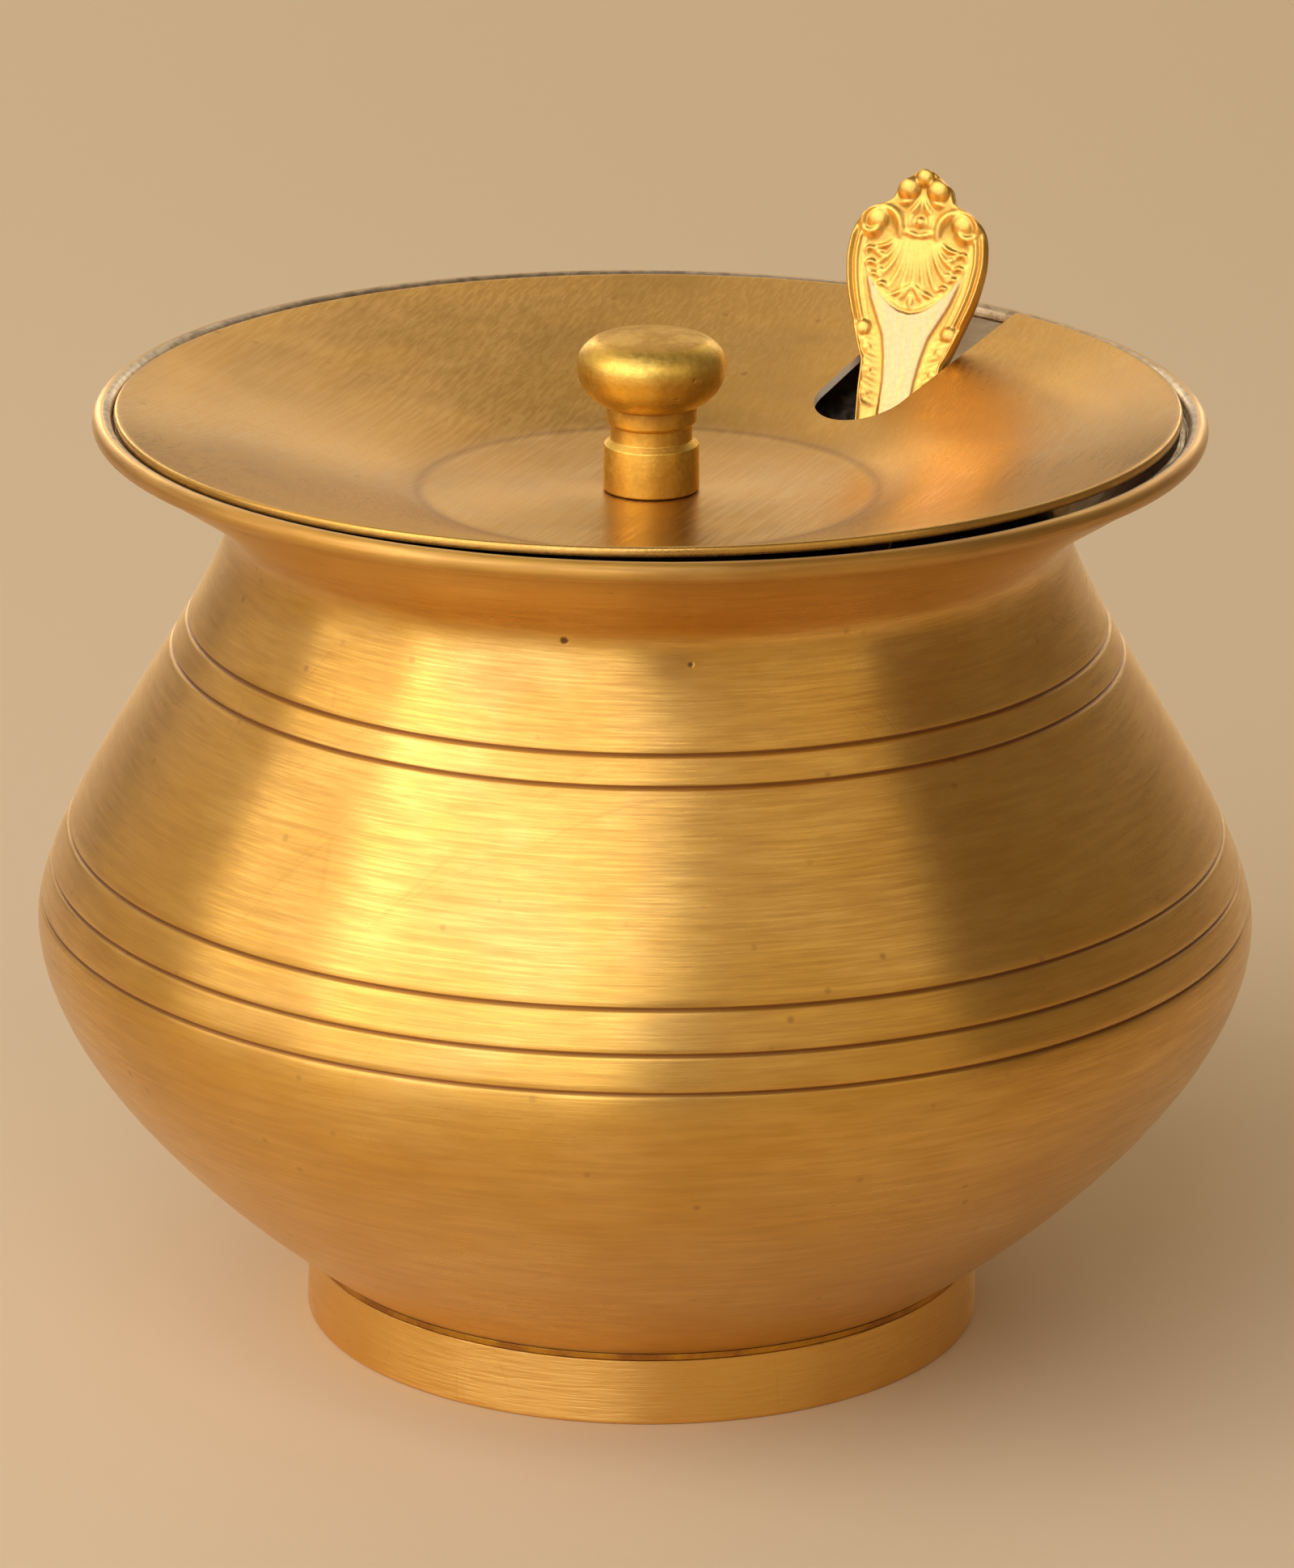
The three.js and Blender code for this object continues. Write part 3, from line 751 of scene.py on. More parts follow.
def grooved():
    """The outside with its turned grooves, and how dark the patina is at each point."""
    heights = [BELLY_HEIGHT + share * (NECK_HEIGHT - BELLY_HEIGHT) for share in GROOVE_SHARES]
    side = shell[belly_index : neck_index + 1]
    half = GROOVE_WIDTH / 2
    plain = [p for p in side if all(abs(p[1] - h) > half * 1.3 for h in heights)]
    points = [(p[0], p[1], 0.0) for p in plain]
    for height in heights:
        for share in np.linspace(-1, 1, 9):
            place = height + share * half
            radius = np.interp(place, side[:, 1], side[:, 0])
            depth = (1 + math.cos(math.pi * share)) / 2
            points.append((radius - depth * GROOVE_DEPTH, place, depth**0.7))
    points = np.array(sorted(points, key=lambda p: p[1]))
    lower, upper = shell[:belly_index], shell[neck_index + 1 :]
    over_seam = lower[:, 1] - seam_height
    seam_patina = np.exp(-np.maximum(over_seam, 0) / 0.5) * (over_seam >= 0) * 0.8
    line = np.concatenate([lower, points[:, :2], upper])
    patina_and_shade = np.concatenate([seam_patina, points[:, 2], 0.55 * np.linspace(0, 1, len(upper)) ** 6])
    return line, patina_and_shade


def vessel(material):
    line, patina_and_shade = grooved()
    lip = arc(lip_centre, LIP_TUBE, LIP_UNDER, LIP_INNER, 30)[1:-1]
    lip_turn = np.linspace(LIP_UNDER, LIP_INNER, 31)[1:-1]
    profile = np.concatenate([line, lip, inside[::-1]])
    lip_tin = unit((lip_turn - LIP_TINNED) / 30)
    lip_patina = 0.3 * unit((LIP_TINNED - lip_turn) / 40)
    marks = {
        "patina_and_shade": np.concatenate([patina_and_shade, lip_patina, np.zeros(len(inside))]),
        "tin": np.concatenate([0 * patina_and_shade, lip_tin, np.ones(len(inside))]),
    }
    turned_piece("pot_body_turned", profile, material, "pot", "pot_body", marks)


def lining(material):
    """The tin: a skin inside the brass, which ends beside the rolled lip."""
    outer = moved_left(inside, np.full(len(inside), LINING_GAP))
    inner = moved_left(inside, np.full(len(inside), LINING_GAP + LINING_THICKNESS))
    outer[-1], inner[-1] = (polar(lip_centre, LIP_TUBE + LINING_GAP, turn) for turn in LINING_ENDS)
    profile = np.concatenate([outer, inner[::-1]])
    turned_piece("tin_lining_skin", profile, material, "pot", "tin_lining")


def foot(material):
    corners = [
        (foot_inner, 0),
        (FOOT_RADIUS, 0),
        (FOOT_RADIUS - FOOT_LEAN, FOOT_HEIGHT - FOOT_LEAN * foot_slope),
        (foot_inner, FOOT_HEIGHT - FOOT_WALL * foot_slope),
    ]
    profile = rounded(corners, [0.3, 0.35, 0.12, 0.15])
    extra = np.linspace(0.5, FOOT_HEIGHT - 0.6, 14)
    face = np.array([(FOOT_RADIUS - FOOT_LEAN * z / FOOT_HEIGHT, z) for z in extra])
    after = np.argmax(profile[:, 1] > 1)
    profile = np.concatenate([profile[:after], face, profile[after:]])
    marks = {"patina_and_shade": unit((profile[:, 1] - FOOT_HEIGHT + FOOT_STAIN) / FOOT_STAIN) ** 2}
    turned_piece("foot_ring_turned", profile, material, "pot", "foot_ring", marks)


def braze(material):
    """The seam: a thin sloping ring, whose outer edge stands a little inside the foot's edge."""
    drawn_in = FOOT_LEAN - 0.12
    outer = FOOT_RADIUS - drawn_in
    low = FOOT_HEIGHT + 0.02
    high = seam_height - 0.02
    corners = [
        (foot_inner, low - FOOT_WALL * foot_slope),
        (outer, low - drawn_in * foot_slope),
        (outer, high - drawn_in * foot_slope),
        (foot_inner, high - FOOT_WALL * foot_slope),
    ]
    profile = rounded(corners, [0.05] * 4)
    turned_piece("foot_braze_seam", profile, material, "pot", "foot_braze")


# The lid's own frame has the top of its flat disc at zero
def lid_frame():
    lean = Matrix.Rotation(-LID_TILT, 4, "X") @ Matrix.Rotation(-LID_ROLL, 4, "Y")
    knob_top = lean @ Vector((KNOB_OFF_CENTRE, 0, KNOB_HEIGHT + STACK_GAP))
    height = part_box("lid_knob")[1][2] / MM - knob_top.z
    return Matrix.Translation(Vector((LID_SHIFT, 0, height)) * MM) @ lean


def onto_knob_axis(mesh, height):
    """Moves a turned mesh onto the knob's axis, at a height in the lid's frame."""
    place = Vector((KNOB_OFF_CENTRE, 0, height)) * MM
    mesh.transform(lid_frame() @ Matrix.Translation(place))


dish_slope = math.atan2(DISH_DEPTH, LID_RADIUS - DISC_RADIUS)
bore = SCREW_RADIUS + SCREW_GAP


def spoon_frame():
    """The spoon's axis, its width and face directions, and the middle of its tip's face."""
    axis = SPOON_LEAN.normalized()
    across = Vector((math.cos(SPOON_TURN), -math.sin(SPOON_TURN), 0))
    across = (across - axis * across.dot(axis)).normalized()
    face = across.cross(axis)
    points = [Vector(v.co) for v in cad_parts["spoon"].data.vertices]
    reach = max(p.dot(axis) for p in points)
    ring = [p for p in points if p.dot(axis) > reach - 0.01 * MM]
    low = Vector([min(p[i] for p in ring) for i in range(3)])
    high = Vector([max(p[i] for p in ring) for i in range(3)])
    tip = (low + high) / 2 / MM + face * (SPOON_THICKNESS / 2 - SPOON_TIP_BEND)
    return axis, across, face, tip


spoon_axis, spoon_across, spoon_face, spoon_tip = spoon_frame()
crossing = spoon_tip - spoon_axis * SPOON_HEAD_LENGTH


def notch_outline():
    """The notch in the lid's plan: a round end, and sides that open towards the lid's edge."""
    direction = Vector((math.cos(NOTCH_DIRECTION), math.sin(NOTCH_DIRECTION), 0))
    side = Vector((-direction.y, direction.x, 0))
    across = SPOON_WAIST_WIDTH * abs(spoon_across.dot(side)) + SPOON_THICKNESS * abs(spoon_face.dot(side))
    handle = crossing - spoon_face * SPOON_THICKNESS / 2
    along = handle.dot(direction)
    off = handle.dot(side)
    taper = math.tan(NOTCH_TAPER)

    def half(x):
        return across / 2 + NOTCH_CLEARANCE + (x - along) * taper

    start = LID_RADIUS - NOTCH_LENGTH
    radius = half(start) / (1 - taper)
    end = LID_RADIUS + 2
    outline = [tuple(p) for p in arc((start + radius, 0), radius, 90, 270, 40)]
    outline += [(end, -half(end)), (end, half(end))]
    turn = Matrix.Rotation(NOTCH_DIRECTION, 2)
    return [tuple(turn @ Vector((x, y + off))) for x, y in outline]


def lid(material):
    tan = math.tan(dish_slope)
    edge_sheet = LID_SHEET / math.cos(dish_slope)
    rise = DISC_CREASE * tan
    crease_start, crease_end = DISC_RADIUS - DISC_CREASE, DISC_RADIUS + DISC_CREASE
    crease = bezier([(crease_start, 0), (DISC_RADIUS, 0), (crease_end, rise)], 12)
    flat_radii = np.linspace(bore + KNOB_OFF_CENTRE, crease_start, 12)
    cone_radii = np.linspace(crease_end, LID_RADIUS - LID_EDGE_ROUND, 24)
    flat = np.array([(r, 0.0) for r in flat_radii])
    cone = np.array([(r, (r - DISC_RADIUS) * tan) for r in cone_radii])
    top = np.concatenate([flat, crease[1:], cone[1:]])
    sheet = np.where(top[:, 0] > DISC_RADIUS, edge_sheet, LID_SHEET)
    under = np.stack([top[:, 0], top[:, 1] - sheet], axis=1)
    rim_top = (LID_RADIUS, DISH_DEPTH)
    rim_low = (LID_RADIUS, DISH_DEPTH - edge_sheet - LID_EDGE_DROP)
    drop_start = (LID_RADIUS - LID_EDGE_WIDTH, DISH_DEPTH - LID_EDGE_WIDTH * tan - edge_sheet)
    rim = rounded([under[-1], drop_start, rim_low, rim_top, top[-1]], [0, 0, 0.25, 0.48, 0])
    profile = np.concatenate([under, rim[1:-1], top[::-1]])
    # painted shade along the disc's crease: a dark line on the crease and a fainter band just outside it
    # stand in for how the crease catches the light
    from_crease = top[::-1, 0] - DISC_RADIUS
    crease_shade = 0.4 * bell(from_crease, 0.45)
    crease_shade += 0.2 * bell(from_crease, 3.5) * (from_crease > 0)
    patina_and_shade = np.concatenate([np.zeros(len(profile) - len(top)), crease_shade])
    mesh = turned("lid_spun", profile, material, {"patina_and_shade": patina_and_shade})
    outline = [(x - LID_SHIFT, y) for x, y in notch_outline()]
    mesh = cut_with(mesh, prism(outline, -3, DISH_DEPTH + 3))
    mesh.transform(lid_frame())
    finished("lid_spun", mesh, material, "lid", "lid_dish", 40)


def knob(material):
    """A barrel, a waist, a collar and a mushroom head with an edge just above its widest place."""
    depth = SCREW_REACH + SCREW_GAP
    shaft = rounded(
        [
            (bore, depth),
            (bore, 0),
            (KNOB_RADIUS + 0.06, 0),
            (KNOB_RADIUS, KNOB_BARREL),
            (KNOB_WAIST_RADIUS, KNOB_BARREL + 0.5),
            (KNOB_WAIST_RADIUS, 6.15),
            (KNOB_COLLAR_RADIUS, 6.5),
            (KNOB_COLLAR_RADIUS + 0.03, 7.95),
            (0, depth),
        ],
        [0, 0.1, 0.22, 0.14, 0.12, 0.12, 0.14, 0, 0],
        4,
    )[:-1]
    widest = KNOB_HEAD_RADIUS
    bowl = bezier([(KNOB_COLLAR_RADIUS + 0.1, 8.0), (5.75, 8.6), (6.75, 9.9), (widest, 11.5)], 16)
    side = bezier([(widest, 11.6), (widest + 0.02, 12.3), (6.75, 12.75), (6.5, 13.1)], 8)
    shoulder = bezier([(6.5, 13.1), (6.2, 13.5), (5.75, 13.95), (5.1, 14.2)], 12)
    top = bezier([(5.1, 14.2), (4.75, 14.34), (4.3, 14.4), (3.6, 14.46)], 6)
    dome = bezier([(3.6, 14.46), (2.2, 14.6), (1.2, KNOB_HEIGHT), (0, KNOB_HEIGHT)], 8)
    profile = np.concatenate([[(0, depth)], shaft, bowl, side, shoulder[1:], top[1:], dome[1:]])
    patina_and_shade = np.zeros(len(profile))
    outside = profile[:, 0] > 3.5
    dark_lines = ((8.0, 0.14, 0.55), (KNOB_BARREL + 0.5, 0.1, 0.2), (6.2, 0.13, 0.4), (0, 0.2, 0.6))
    for height, width, share in dark_lines:
        patina_and_shade = np.maximum(patina_and_shade, share * bell(profile[:, 1] - height, width) * outside)
    on_top = unit((5.4 - profile[:, 0]) / 0.5) * (profile[:, 1] > 14)
    patina_and_shade = np.maximum(patina_and_shade, 0.3 * on_top)
    mesh = turned("knob_turned", profile, material, {"patina_and_shade": patina_and_shade}, 192)
    onto_knob_axis(mesh, STACK_GAP)
    finished("knob_turned", mesh, material, "lid", "lid_knob", 50)


def fixing(material):
    """The washer and the slotted screw under the lid."""
    washer_low = -LID_SHEET - STACK_GAP - WASHER_THICKNESS
    ring = rounded(
        [(bore, 0), (WASHER_RADIUS, 0), (WASHER_RADIUS, WASHER_THICKNESS), (bore, WASHER_THICKNESS)],
        [0.08, 0.12, 0.12, 0.08],
    )
    washer = turned("knob_washer_turned", ring, material, None, 128)
    onto_knob_axis(washer, washer_low)
    finished("knob_washer_turned", washer, material, "lid", "knob_washer")

    shank = SCREW_REACH + LID_SHEET + 3 * STACK_GAP + WASHER_THICKNESS
    rim = SCREW_HEAD_RADIUS
    dome = bezier([(0, -SCREW_HEAD), (1.8, -SCREW_HEAD), (rim, -1.25), (rim, -0.5)], 14)
    threads = [(SCREW_RADIUS - 0.14 * (i % 2), 0.12 + i * 0.25) for i in range(int((shank - 0.5) / 0.25))]
    body = [(rim, -0.05), (rim - 0.05, 0), (SCREW_RADIUS, 0)]
    profile = np.concatenate([dome, body, threads, [(SCREW_RADIUS - 0.4, shank), (0, shank)]])
    screw = turned("knob_screw_turned", profile, material, None, 96)
    half = rim + 1
    slot_outline = [(-half, -0.4), (half, -0.4), (half, 0.4), (-half, 0.4)]
    slot = prism(slot_outline, -SCREW_HEAD - 1, 0.8 - SCREW_HEAD)
    screw = cut_with(screw, slot)
    onto_knob_axis(screw, washer_low - STACK_GAP)
    finished("knob_screw_turned", screw, material, "lid", "knob_screw", 30)


# The spoon's outline in shares: how far along its head, and half the width there. For the bowl,
# also how deep it is there.
HEAD_SHARES = (
    (0, 0.02), (0.008, 0.1), (0.028, 0.175), (0.055, 0.27), (0.085, 0.37),
    (0.12, 0.4), (0.155, 0.44), (0.18, 0.55), (0.2, 0.67), (0.225, 0.77),
    (0.26, 0.86), (0.32, 0.95), (0.38, 0.985), (0.46, 1), (0.55, 0.975),
    (0.64, 0.925), (0.72, 0.86), (0.8, 0.785), (0.87, 0.72), (0.94, 0.65),
)
BOWL_SHARES = (
    (0, 0.19, 0.05), (0.06, 0.36, 0.22), (0.16, 0.66, 0.52), (0.3, 0.88, 0.83),
    (0.46, 0.99, 1), (0.62, 0.97, 0.98), (0.77, 0.83, 0.78), (0.89, 0.6, 0.48),
    (0.96, 0.38, 0.22), (0.99, 0.19, 0.07), (1, 0.05, 0.02),
)


def smooth_table(places, values, wanted):
    """A smooth curve through a table that never overshoots it."""
    places, values = np.array(places, float), np.array(values, float)
    steps = np.diff(places)
    rates = np.diff(values) / steps
    slopes = np.zeros(len(places))
    both = rates[:-1] * rates[1:] > 0
    total = np.where(both, rates[:-1] + rates[1:], 1)
    slopes[1:-1] = np.where(both, 2 * rates[:-1] * rates[1:] / total, 0)
    slopes[0], slopes[-1] = rates[0], rates[-1]
    k = np.clip(np.searchsorted(places, wanted) - 1, 0, len(steps) - 1)
    t = (wanted - places[k]) / steps[k]
    return (
        (1 + 2 * t) * (1 - t) ** 2 * values[k]
        + t * (1 - t) ** 2 * steps[k] * slopes[k]
        + t**2 * (3 - 2 * t) * values[k + 1]
        + t**2 * (t - 1) * steps[k] * slopes[k + 1]
    )


def spoon_length():
    """From the tip's face to the far end of the bowl, as the frame's spoon has it."""
    points = [Vector(v.co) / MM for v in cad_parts["spoon"].data.vertices]
    return max((spoon_tip - p).dot(spoon_axis) for p in points)


def ridge(across, along, points, width, height):
    """A rounded ridge along a curve through a few points, which fades at both ends."""
    curve = bezier(points, 26)
    best = np.full(across.shape, np.inf)
    taper = np.zeros(across.shape)
    for i, (x, y) in enumerate(curve):
        away = (across - x) ** 2 + (along - y) ** 2
        nearer = away < best
        best = np.where(nearer, away, best)
        share = i / (len(curve) - 1)
        fade = math.sin(math.pi * min(0.92, 0.12 + 0.8 * share)) ** 0.6
        taper = np.where(nearer, fade, taper)
    return height * taper * np.exp(-best / (width * (0.6 + 0.4 * taper)) ** 2)


def bead(across, along, x, y, radius, height):
    away = np.hypot(across - x, along - y)
    return height * np.sqrt(unit(1 - (away / radius) ** 2))


# The ornament of the head's right half: how far from the middle and how far from the tip. The
# left half mirrors it.
SHELL_RIBS = (
    ((0.0, 6.9), (0.0, 8.4), (0.0, 9.8), (0.0, 11.3)),
    ((0.5, 6.8), (0.55, 8.8), (0.75, 10.4), (1.35, 12.0)),
    ((1.0, 6.8), (1.1, 8.6), (1.5, 10.1), (2.5, 11.6)),
    ((1.5, 6.8), (1.7, 8.3), (2.4, 9.5), (3.5, 10.6)),
    ((1.95, 6.9), (2.3, 8.0), (3.0, 8.8), (3.8, 9.2)),
    ((2.4, 6.9), (2.9, 7.5), (3.5, 7.8), (4.2, 7.7)),
)
SIDE_SCROLLS = (
    ((4.1, 8.2), (4.8, 7.5), (5.5, 8.1), (4.9, 8.7)),
    ((4.0, 9.5), (4.5, 8.9), (5.2, 9.2), (4.8, 9.9)),
    ((3.5, 10.7), (4.0, 10.0), (4.6, 10.3), (4.2, 10.9)),
    ((2.7, 11.5), (3.1, 10.9), (3.7, 11.2), (3.3, 11.8)),
)
LOWER_FAN = (
    ((0.12, 11.0), (0.5, 11.9), (1.3, 12.7)),
    ((0.3, 11.2), (1.2, 12.0), (2.3, 12.3)),
    ((0.0, 12.1), (0.0, 12.8), (0.0, 13.5)),
)
VOLUTE = (
    ((1.9, 6.5), (1.7, 5.0), (2.6, 3.95), (3.9, 3.9)),
    ((3.9, 3.9), (5.4, 3.8), (6.3, 4.9), (5.7, 6.0)),
    ((5.7, 6.0), (4.9, 6.9), (3.7, 6.0), (4.3, 5.1)),
)
CROWN = (
    ((0.25, 3.1), (0.5, 3.9), (1.3, 4.5)),
    ((0.9, 3.0), (1.5, 3.4), (2.4, 3.3)),
    ((0.0, 6.45), (0.8, 6.4), (1.5, 5.9)),
    ((0.9, 4.4), (1.2, 5.1), (0.9, 5.8)),
)
SHELL_EDGE = (
    ((5.6, 8.0), (5.3, 9.3), (4.7, 10.1), (3.7, 11.2)),
    ((3.7, 11.2), (2.8, 12.3), (1.6, 13.2), (0.0, 13.5)),
)
LEAVES = (
    ((5.0, 15.3), (4.3, 15.6), (3.5, 15.9)),
    ((4.9, 16.3), (4.1, 16.9), (3.1, 17.0)),
    ((4.5, 17.3), (3.8, 17.9), (2.7, 18.1)),
    ((4.1, 18.4), (3.5, 19.0), (2.5, 19.3)),
    ((4.0, 19.6), (3.3, 20.2), (2.3, 20.5)),
    ((3.9, 20.8), (3.2, 21.4), (2.2, 21.7)),
    ((3.8, 22.0), (3.1, 22.6), (2.1, 22.9)),
)
BEADS = (
    (0.0, 0.8, 0.9, 1.1), (1.5, 1.95, 1.15, 1.35), (4.4, 5.0, 1.15, 1.15),
    (3.6, 8.45, 0.35, 0.6), (3.5, 9.95, 0.32, 0.55), (0.0, 5.1, 0.55, 0.7),
    (4.4, 15.6, 0.85, 0.9), (3.8, 17.4, 0.6, 0.6), (3.4, 19.6, 0.55, 0.6),
    (3.3, 21.9, 0.55, 0.6),
)
SHELL_REACH = (
    (0, 13.8), (1.0, 13.6), (1.8, 13.2), (2.6, 12.6),
    (3.6, 11.6), (4.6, 10.5), (5.3, 9.1), (5.9, 7.2),
)
PANEL_HALF = (
    (9.5, 5.2), (11, 4.8), (12.8, 4.2), (14.6, 3.3),
    (16.2, 2.5), (18.2, 2.05), (20.5, 1.75), (26, 1.6),
)
RAILS = ((0.4, 0.26, 0.85), (1.15, 0.24, 0.7), (1.75, 0.2, 0.4))


def plain_panel(across, along, half):
    """The plain panel, which lies below the shell, runs up beside it and narrows to the waist."""
    side = np.abs(across)
    reach = np.interp(side, *zip(*SHELL_REACH))
    panel = np.minimum(np.interp(along, *zip(*PANEL_HALF)), half - 2.0)
    return unit((panel - side) / 0.25) * unit((along - reach) / 0.25)


def relief(across, along, half, plain):
    """How high the cast ornament stands at each place on the head's face."""
    side = np.abs(across)
    rise = np.zeros(across.shape)
    strokes = (
        (SHELL_RIBS, 0.21, 0.75),
        (SIDE_SCROLLS, 0.24, 0.8),
        (LOWER_FAN, 0.26, 0.7),
        (VOLUTE, 0.5, 1.1),
        (CROWN, 0.34, 0.65),
        (SHELL_EDGE, 0.26, 0.4),
        (LEAVES, 0.42, 0.42),
    )
    for curves, width, height in strokes:
        for points in curves:
            rise = np.maximum(rise, ridge(side, along, points, width, height))
    for x, y, radius, height in BEADS:
        rise = np.maximum(rise, bead(side, along, x, y, radius, height))
    rail_zone = unit((along - 5.6) / 1.2) * unit((15.6 - along) / 1.2)
    for inset, width, height in RAILS:
        rise = np.maximum(rise, rail_zone * height * bell(half - side - inset, width))
    edge_line = unit(along - 14.5) * 0.6
    rise = np.maximum(rise, edge_line * bell(half - side - 0.3, 0.22))
    rise = rise * (1 - plain) + 0.5 * plain
    return rise * unit((RELIEF_END - along) / 2) * RELIEF


def blurred(field, rounds):
    for _ in range(rounds):
        padded = np.pad(field, 1, mode="edge")
        field = (padded[1:-1, :-2] + padded[1:-1, 2:] + padded[:-2, 1:-1] + padded[2:, 1:-1]) / 4
    return field


def spoon(material):
    length = spoon_length()
    neck = length - SPOON_BOWL_LENGTH
    waist_end = SPOON_HEAD_LENGTH + SPOON_WAIST_LENGTH
    stem_start = waist_end + SPOON_TAPER_LENGTH
    table = [(a * SPOON_HEAD_LENGTH, w * SPOON_HEAD_WIDTH / 2, 0.0) for a, w in HEAD_SHARES]
    waist, stem = SPOON_WAIST_WIDTH / 2, SPOON_STEM_WIDTH / 2
    table += [
        (SPOON_HEAD_LENGTH, waist, 0.0),
        (SPOON_HEAD_LENGTH + 2, waist - 0.05, 0.0),
        (waist_end, waist - 0.4, 0.0),
        ((waist_end + stem_start) / 2, (waist + stem) / 2, 0.0),
        (stem_start, stem, 0.0),
        ((stem_start + neck) / 2, stem, 0.0),
    ]
    for along_share, width_share, depth_share in BOWL_SHARES:
        station = neck + along_share * SPOON_BOWL_LENGTH
        table.append((station, width_share * SPOON_BOWL_WIDTH / 2, depth_share * SPOON_BOWL_DEPTH))
    tip_length, end_length, row_pitch = 1.2, 1.6, 0.085
    tip_rows = np.linspace(0, 1, 22)[:-1] ** 1.6 * tip_length
    fine_rows = np.arange(tip_length, RELIEF_END, row_pitch)
    coarse_rows = np.linspace(fine_rows[-1] + 0.4, length - end_length, 110)
    end_rows = length - end_length * (1 - np.linspace(0, 1, 14)) ** 1.8
    rows = np.concatenate([tip_rows, fine_rows, coarse_rows, end_rows[1:]])[:, None]
    at, widths, dishes = (np.array(column) for column in zip(*table))
    half = np.maximum(smooth_table(at, widths, rows), 0.05)
    dish = smooth_table(at, dishes, rows)
    thinner = SPOON_BOWL_THICKNESS - SPOON_THICKNESS
    thick = SPOON_THICKNESS + thinner * unit((rows - neck + 4) / 8)

    columns = 149
    outmost = math.pi / 2 * 0.93
    share = np.sin(np.linspace(-1, 1, columns) * outmost) / math.sin(outmost)
    across = half * share
    along = np.repeat(rows, columns, axis=1)
    inset = half - np.abs(across)
    edge_round = np.minimum(0.32, half * 0.5)
    past = np.maximum(edge_round - inset, 0)
    drop = edge_round - np.sqrt(np.maximum(edge_round**2 - past**2, 0))
    plain = plain_panel(across, along, half)
    raised = blurred(relief(across, along, half, plain), 3)
    surface = raised * unit(inset / 0.25) - drop
    hollow = unit((blurred(raised, 60) - raised) / (0.45 * RELIEF)) * (along < RELIEF_END)

    bow_share = unit((rows - SPOON_HEAD_LENGTH) / (neck - SPOON_HEAD_LENGTH))
    tip_share = unit(1 - rows / SPOON_HEAD_LENGTH)
    bend = SPOON_TIP_BEND * tip_share**2 + SPOON_STEM_BOW * np.sin(math.pi * bow_share) ** 2

    back_start = 0.12
    back_share = np.cos(np.linspace(back_start, 1, 27)[:-1] * math.pi)
    back_share = np.append(back_share, -math.cos(back_start * math.pi))
    face_depth = bend - dish * (1 - share**2) + surface
    round_back = 0.35 * (1 - np.sqrt(unit(1 - back_share**2)))
    back_depth = bend - dish * (1 - back_share**2) - thick + round_back

    def ringed(front, back):
        return np.concatenate([front, np.broadcast_to(back, back_depth.shape)], axis=1)

    ring_across = ringed(across, half * back_share)
    ring_depth = ringed(face_depth, back_depth)
    ring = ring_across.shape[1]
    local = np.stack([ring_across, ring_depth, np.repeat(-rows, ring, axis=1)], axis=2)
    basis = np.array([spoon_across, spoon_face, spoon_axis])
    verts = ((np.array(spoon_tip) + local @ basis) * MM).reshape(-1, 3)
    faces = []
    for i in range(len(rows) - 1):
        for j in range(ring):
            k = (j + 1) % ring
            faces.append([i * ring + j, (i + 1) * ring + j, (i + 1) * ring + k, i * ring + k])
    faces.append(list(range(ring)))
    last = (len(rows) - 1) * ring
    faces.append([last + j for j in range(ring)][::-1])
    mesh = bpy.data.meshes.new("spoon_cast")
    mesh.from_pydata(verts.tolist(), [], faces)
    for name, values in (("hollow", ringed(hollow, 0.35)), ("plain", ringed(plain, 0.0))):
        mesh.attributes.new(name, "FLOAT", "POINT").data.foreach_set("value", values.ravel())
    finished("spoon_cast", mesh, material, "spoon", "spoon", 75)


def pale_floor():
    """A matt floor. Far out, where the lamps don't reach, the camera still sees it pale."""
    material, tree, shader = new_material("Pale floor")
    fill(shader, {"Base Color": FLOOR_TONE, "Roughness": 0.85, "Specular IOR Level": 0.1})
    place = add(tree, "ShaderNodeNewGeometry").outputs["Position"]
    away = node("ShaderNodeVectorMath", {0: place}, operation="LENGTH").outputs["Value"]
    far = remap(away, LIT_REACH, 1.45 * LIT_REACH, 0.0, 0.5)
    seen = add(tree, "ShaderNodeLightPath").outputs["Is Camera Ray"]
    fill(shader, {"Emission Color": FLOOR_TONE, "Emission Strength": times(far, seen)})
    return material


def floor():
    mesh = bpy.data.meshes.new("floor")
    shape = bmesh.new()
    bmesh.ops.create_circle(shape, cap_ends=True, radius=4.0, segments=96)
    shape.to_mesh(mesh)
    shape.free()
    mesh.materials.append(pale_floor())
    ground = placed("floor", mesh)


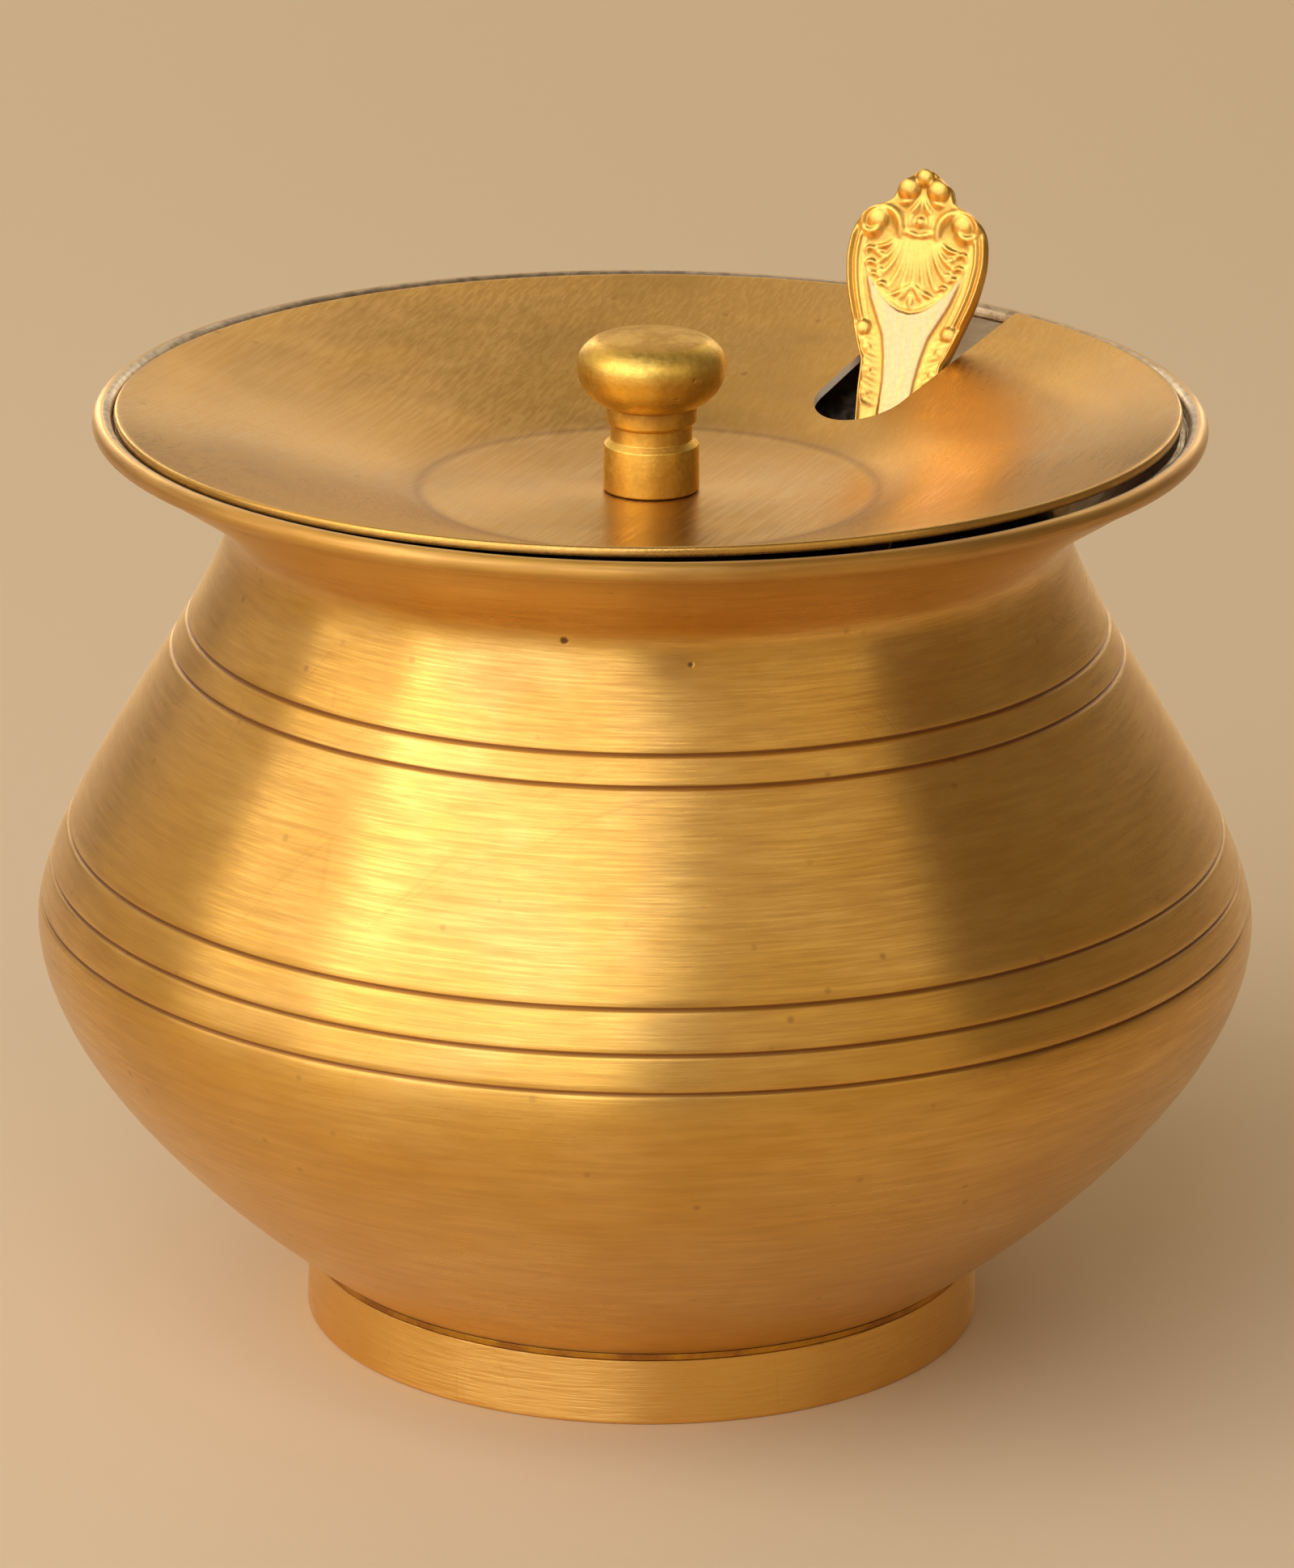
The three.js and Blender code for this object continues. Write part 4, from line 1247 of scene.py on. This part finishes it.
def soft_light(name, azimuth, elevation, distance, size, radiance, colour):
    """A soft panel that faces the pot; azimuth 0 is the camera's side, and left is negative."""
    turn = math.radians(azimuth)
    tilt = math.radians(elevation)
    away = Vector((math.sin(turn) * math.cos(tilt), -math.cos(turn) * math.cos(tilt), math.sin(tilt)))
    lamp = bpy.data.lights.new(name, "AREA")
    lamp.shape = "RECTANGLE"
    lamp.size, lamp.size_y = size
    lamp.energy = radiance * math.pi * size[0] * size[1]
    lamp.color = colour
    holder = placed(name, lamp)
    holder.location = Vector((0, 0, 0.05)) + away * distance
    holder.rotation_euler = away.to_track_quat("Z", "Y").to_euler()
    holder.visible_camera = False


def lights():
    soft_light("key", -33, 36, 1.1, (1.25, 1.35), 2.1, (0.93, 0.95, 1))
    soft_light("key side", -78, 32, 1.3, (0.85, 1.2), 1.6, (1, 0.93, 0.8))
    soft_light("front right", 36, 34, 1.2, (1.05, 1.2), 0.55, (1, 0.86, 0.6))
    soft_light("left wing", -116, 30, 1.3, (1.0, 1.1), 0.55, (1, 0.86, 0.6))
    soft_light("back", 180, 32, 1.6, (2.2, 1.3), 0.7, (1, 0.9, 0.72))
    soft_light("left edge", -162, 15, 1.3, (0.15, 0.7), 3.2, (1, 0.88, 0.62))
    soft_light("right edge", 162, 12, 1.3, (0.12, 0.6), 2.6, (1, 0.88, 0.62))
    world = bpy.data.worlds.new("Studio")
    bpy.context.scene.world = world
    world.use_nodes = True
    fill(world.node_tree.nodes["Background"], {"Color": (0.2, 0.155, 0.1, 1), "Strength": 1.0})


def camera():
    data = bpy.data.cameras.new("camera")
    data.sensor_fit = "VERTICAL"
    data.sensor_height = data.sensor_width = SENSOR
    data.lens = SENSOR * FOCAL_PIXELS / PHOTO_HEIGHT
    data.clip_start = 0.01
    holder = placed("camera", data)
    pitch = Matrix.Rotation(math.pi / 2 - CAMERA_PITCH, 4, "X")
    roll = Matrix.Rotation(CAMERA_ROLL, 4, "Z")
    holder.matrix_world = Matrix.Translation(CAMERA_PLACE) @ pitch @ roll
    bpy.context.scene.camera = holder


camera()
lights()
floor()
vessel(body_brass())
lining(tin_metal())
foot(foot_brass())
braze(braze_metal())
lid(lid_brass())
knob_material = knob_brass()
knob(knob_material)
fixing(knob_material)
spoon(spoon_brass())

scene = bpy.context.scene
scene.view_settings.view_transform = "Standard"
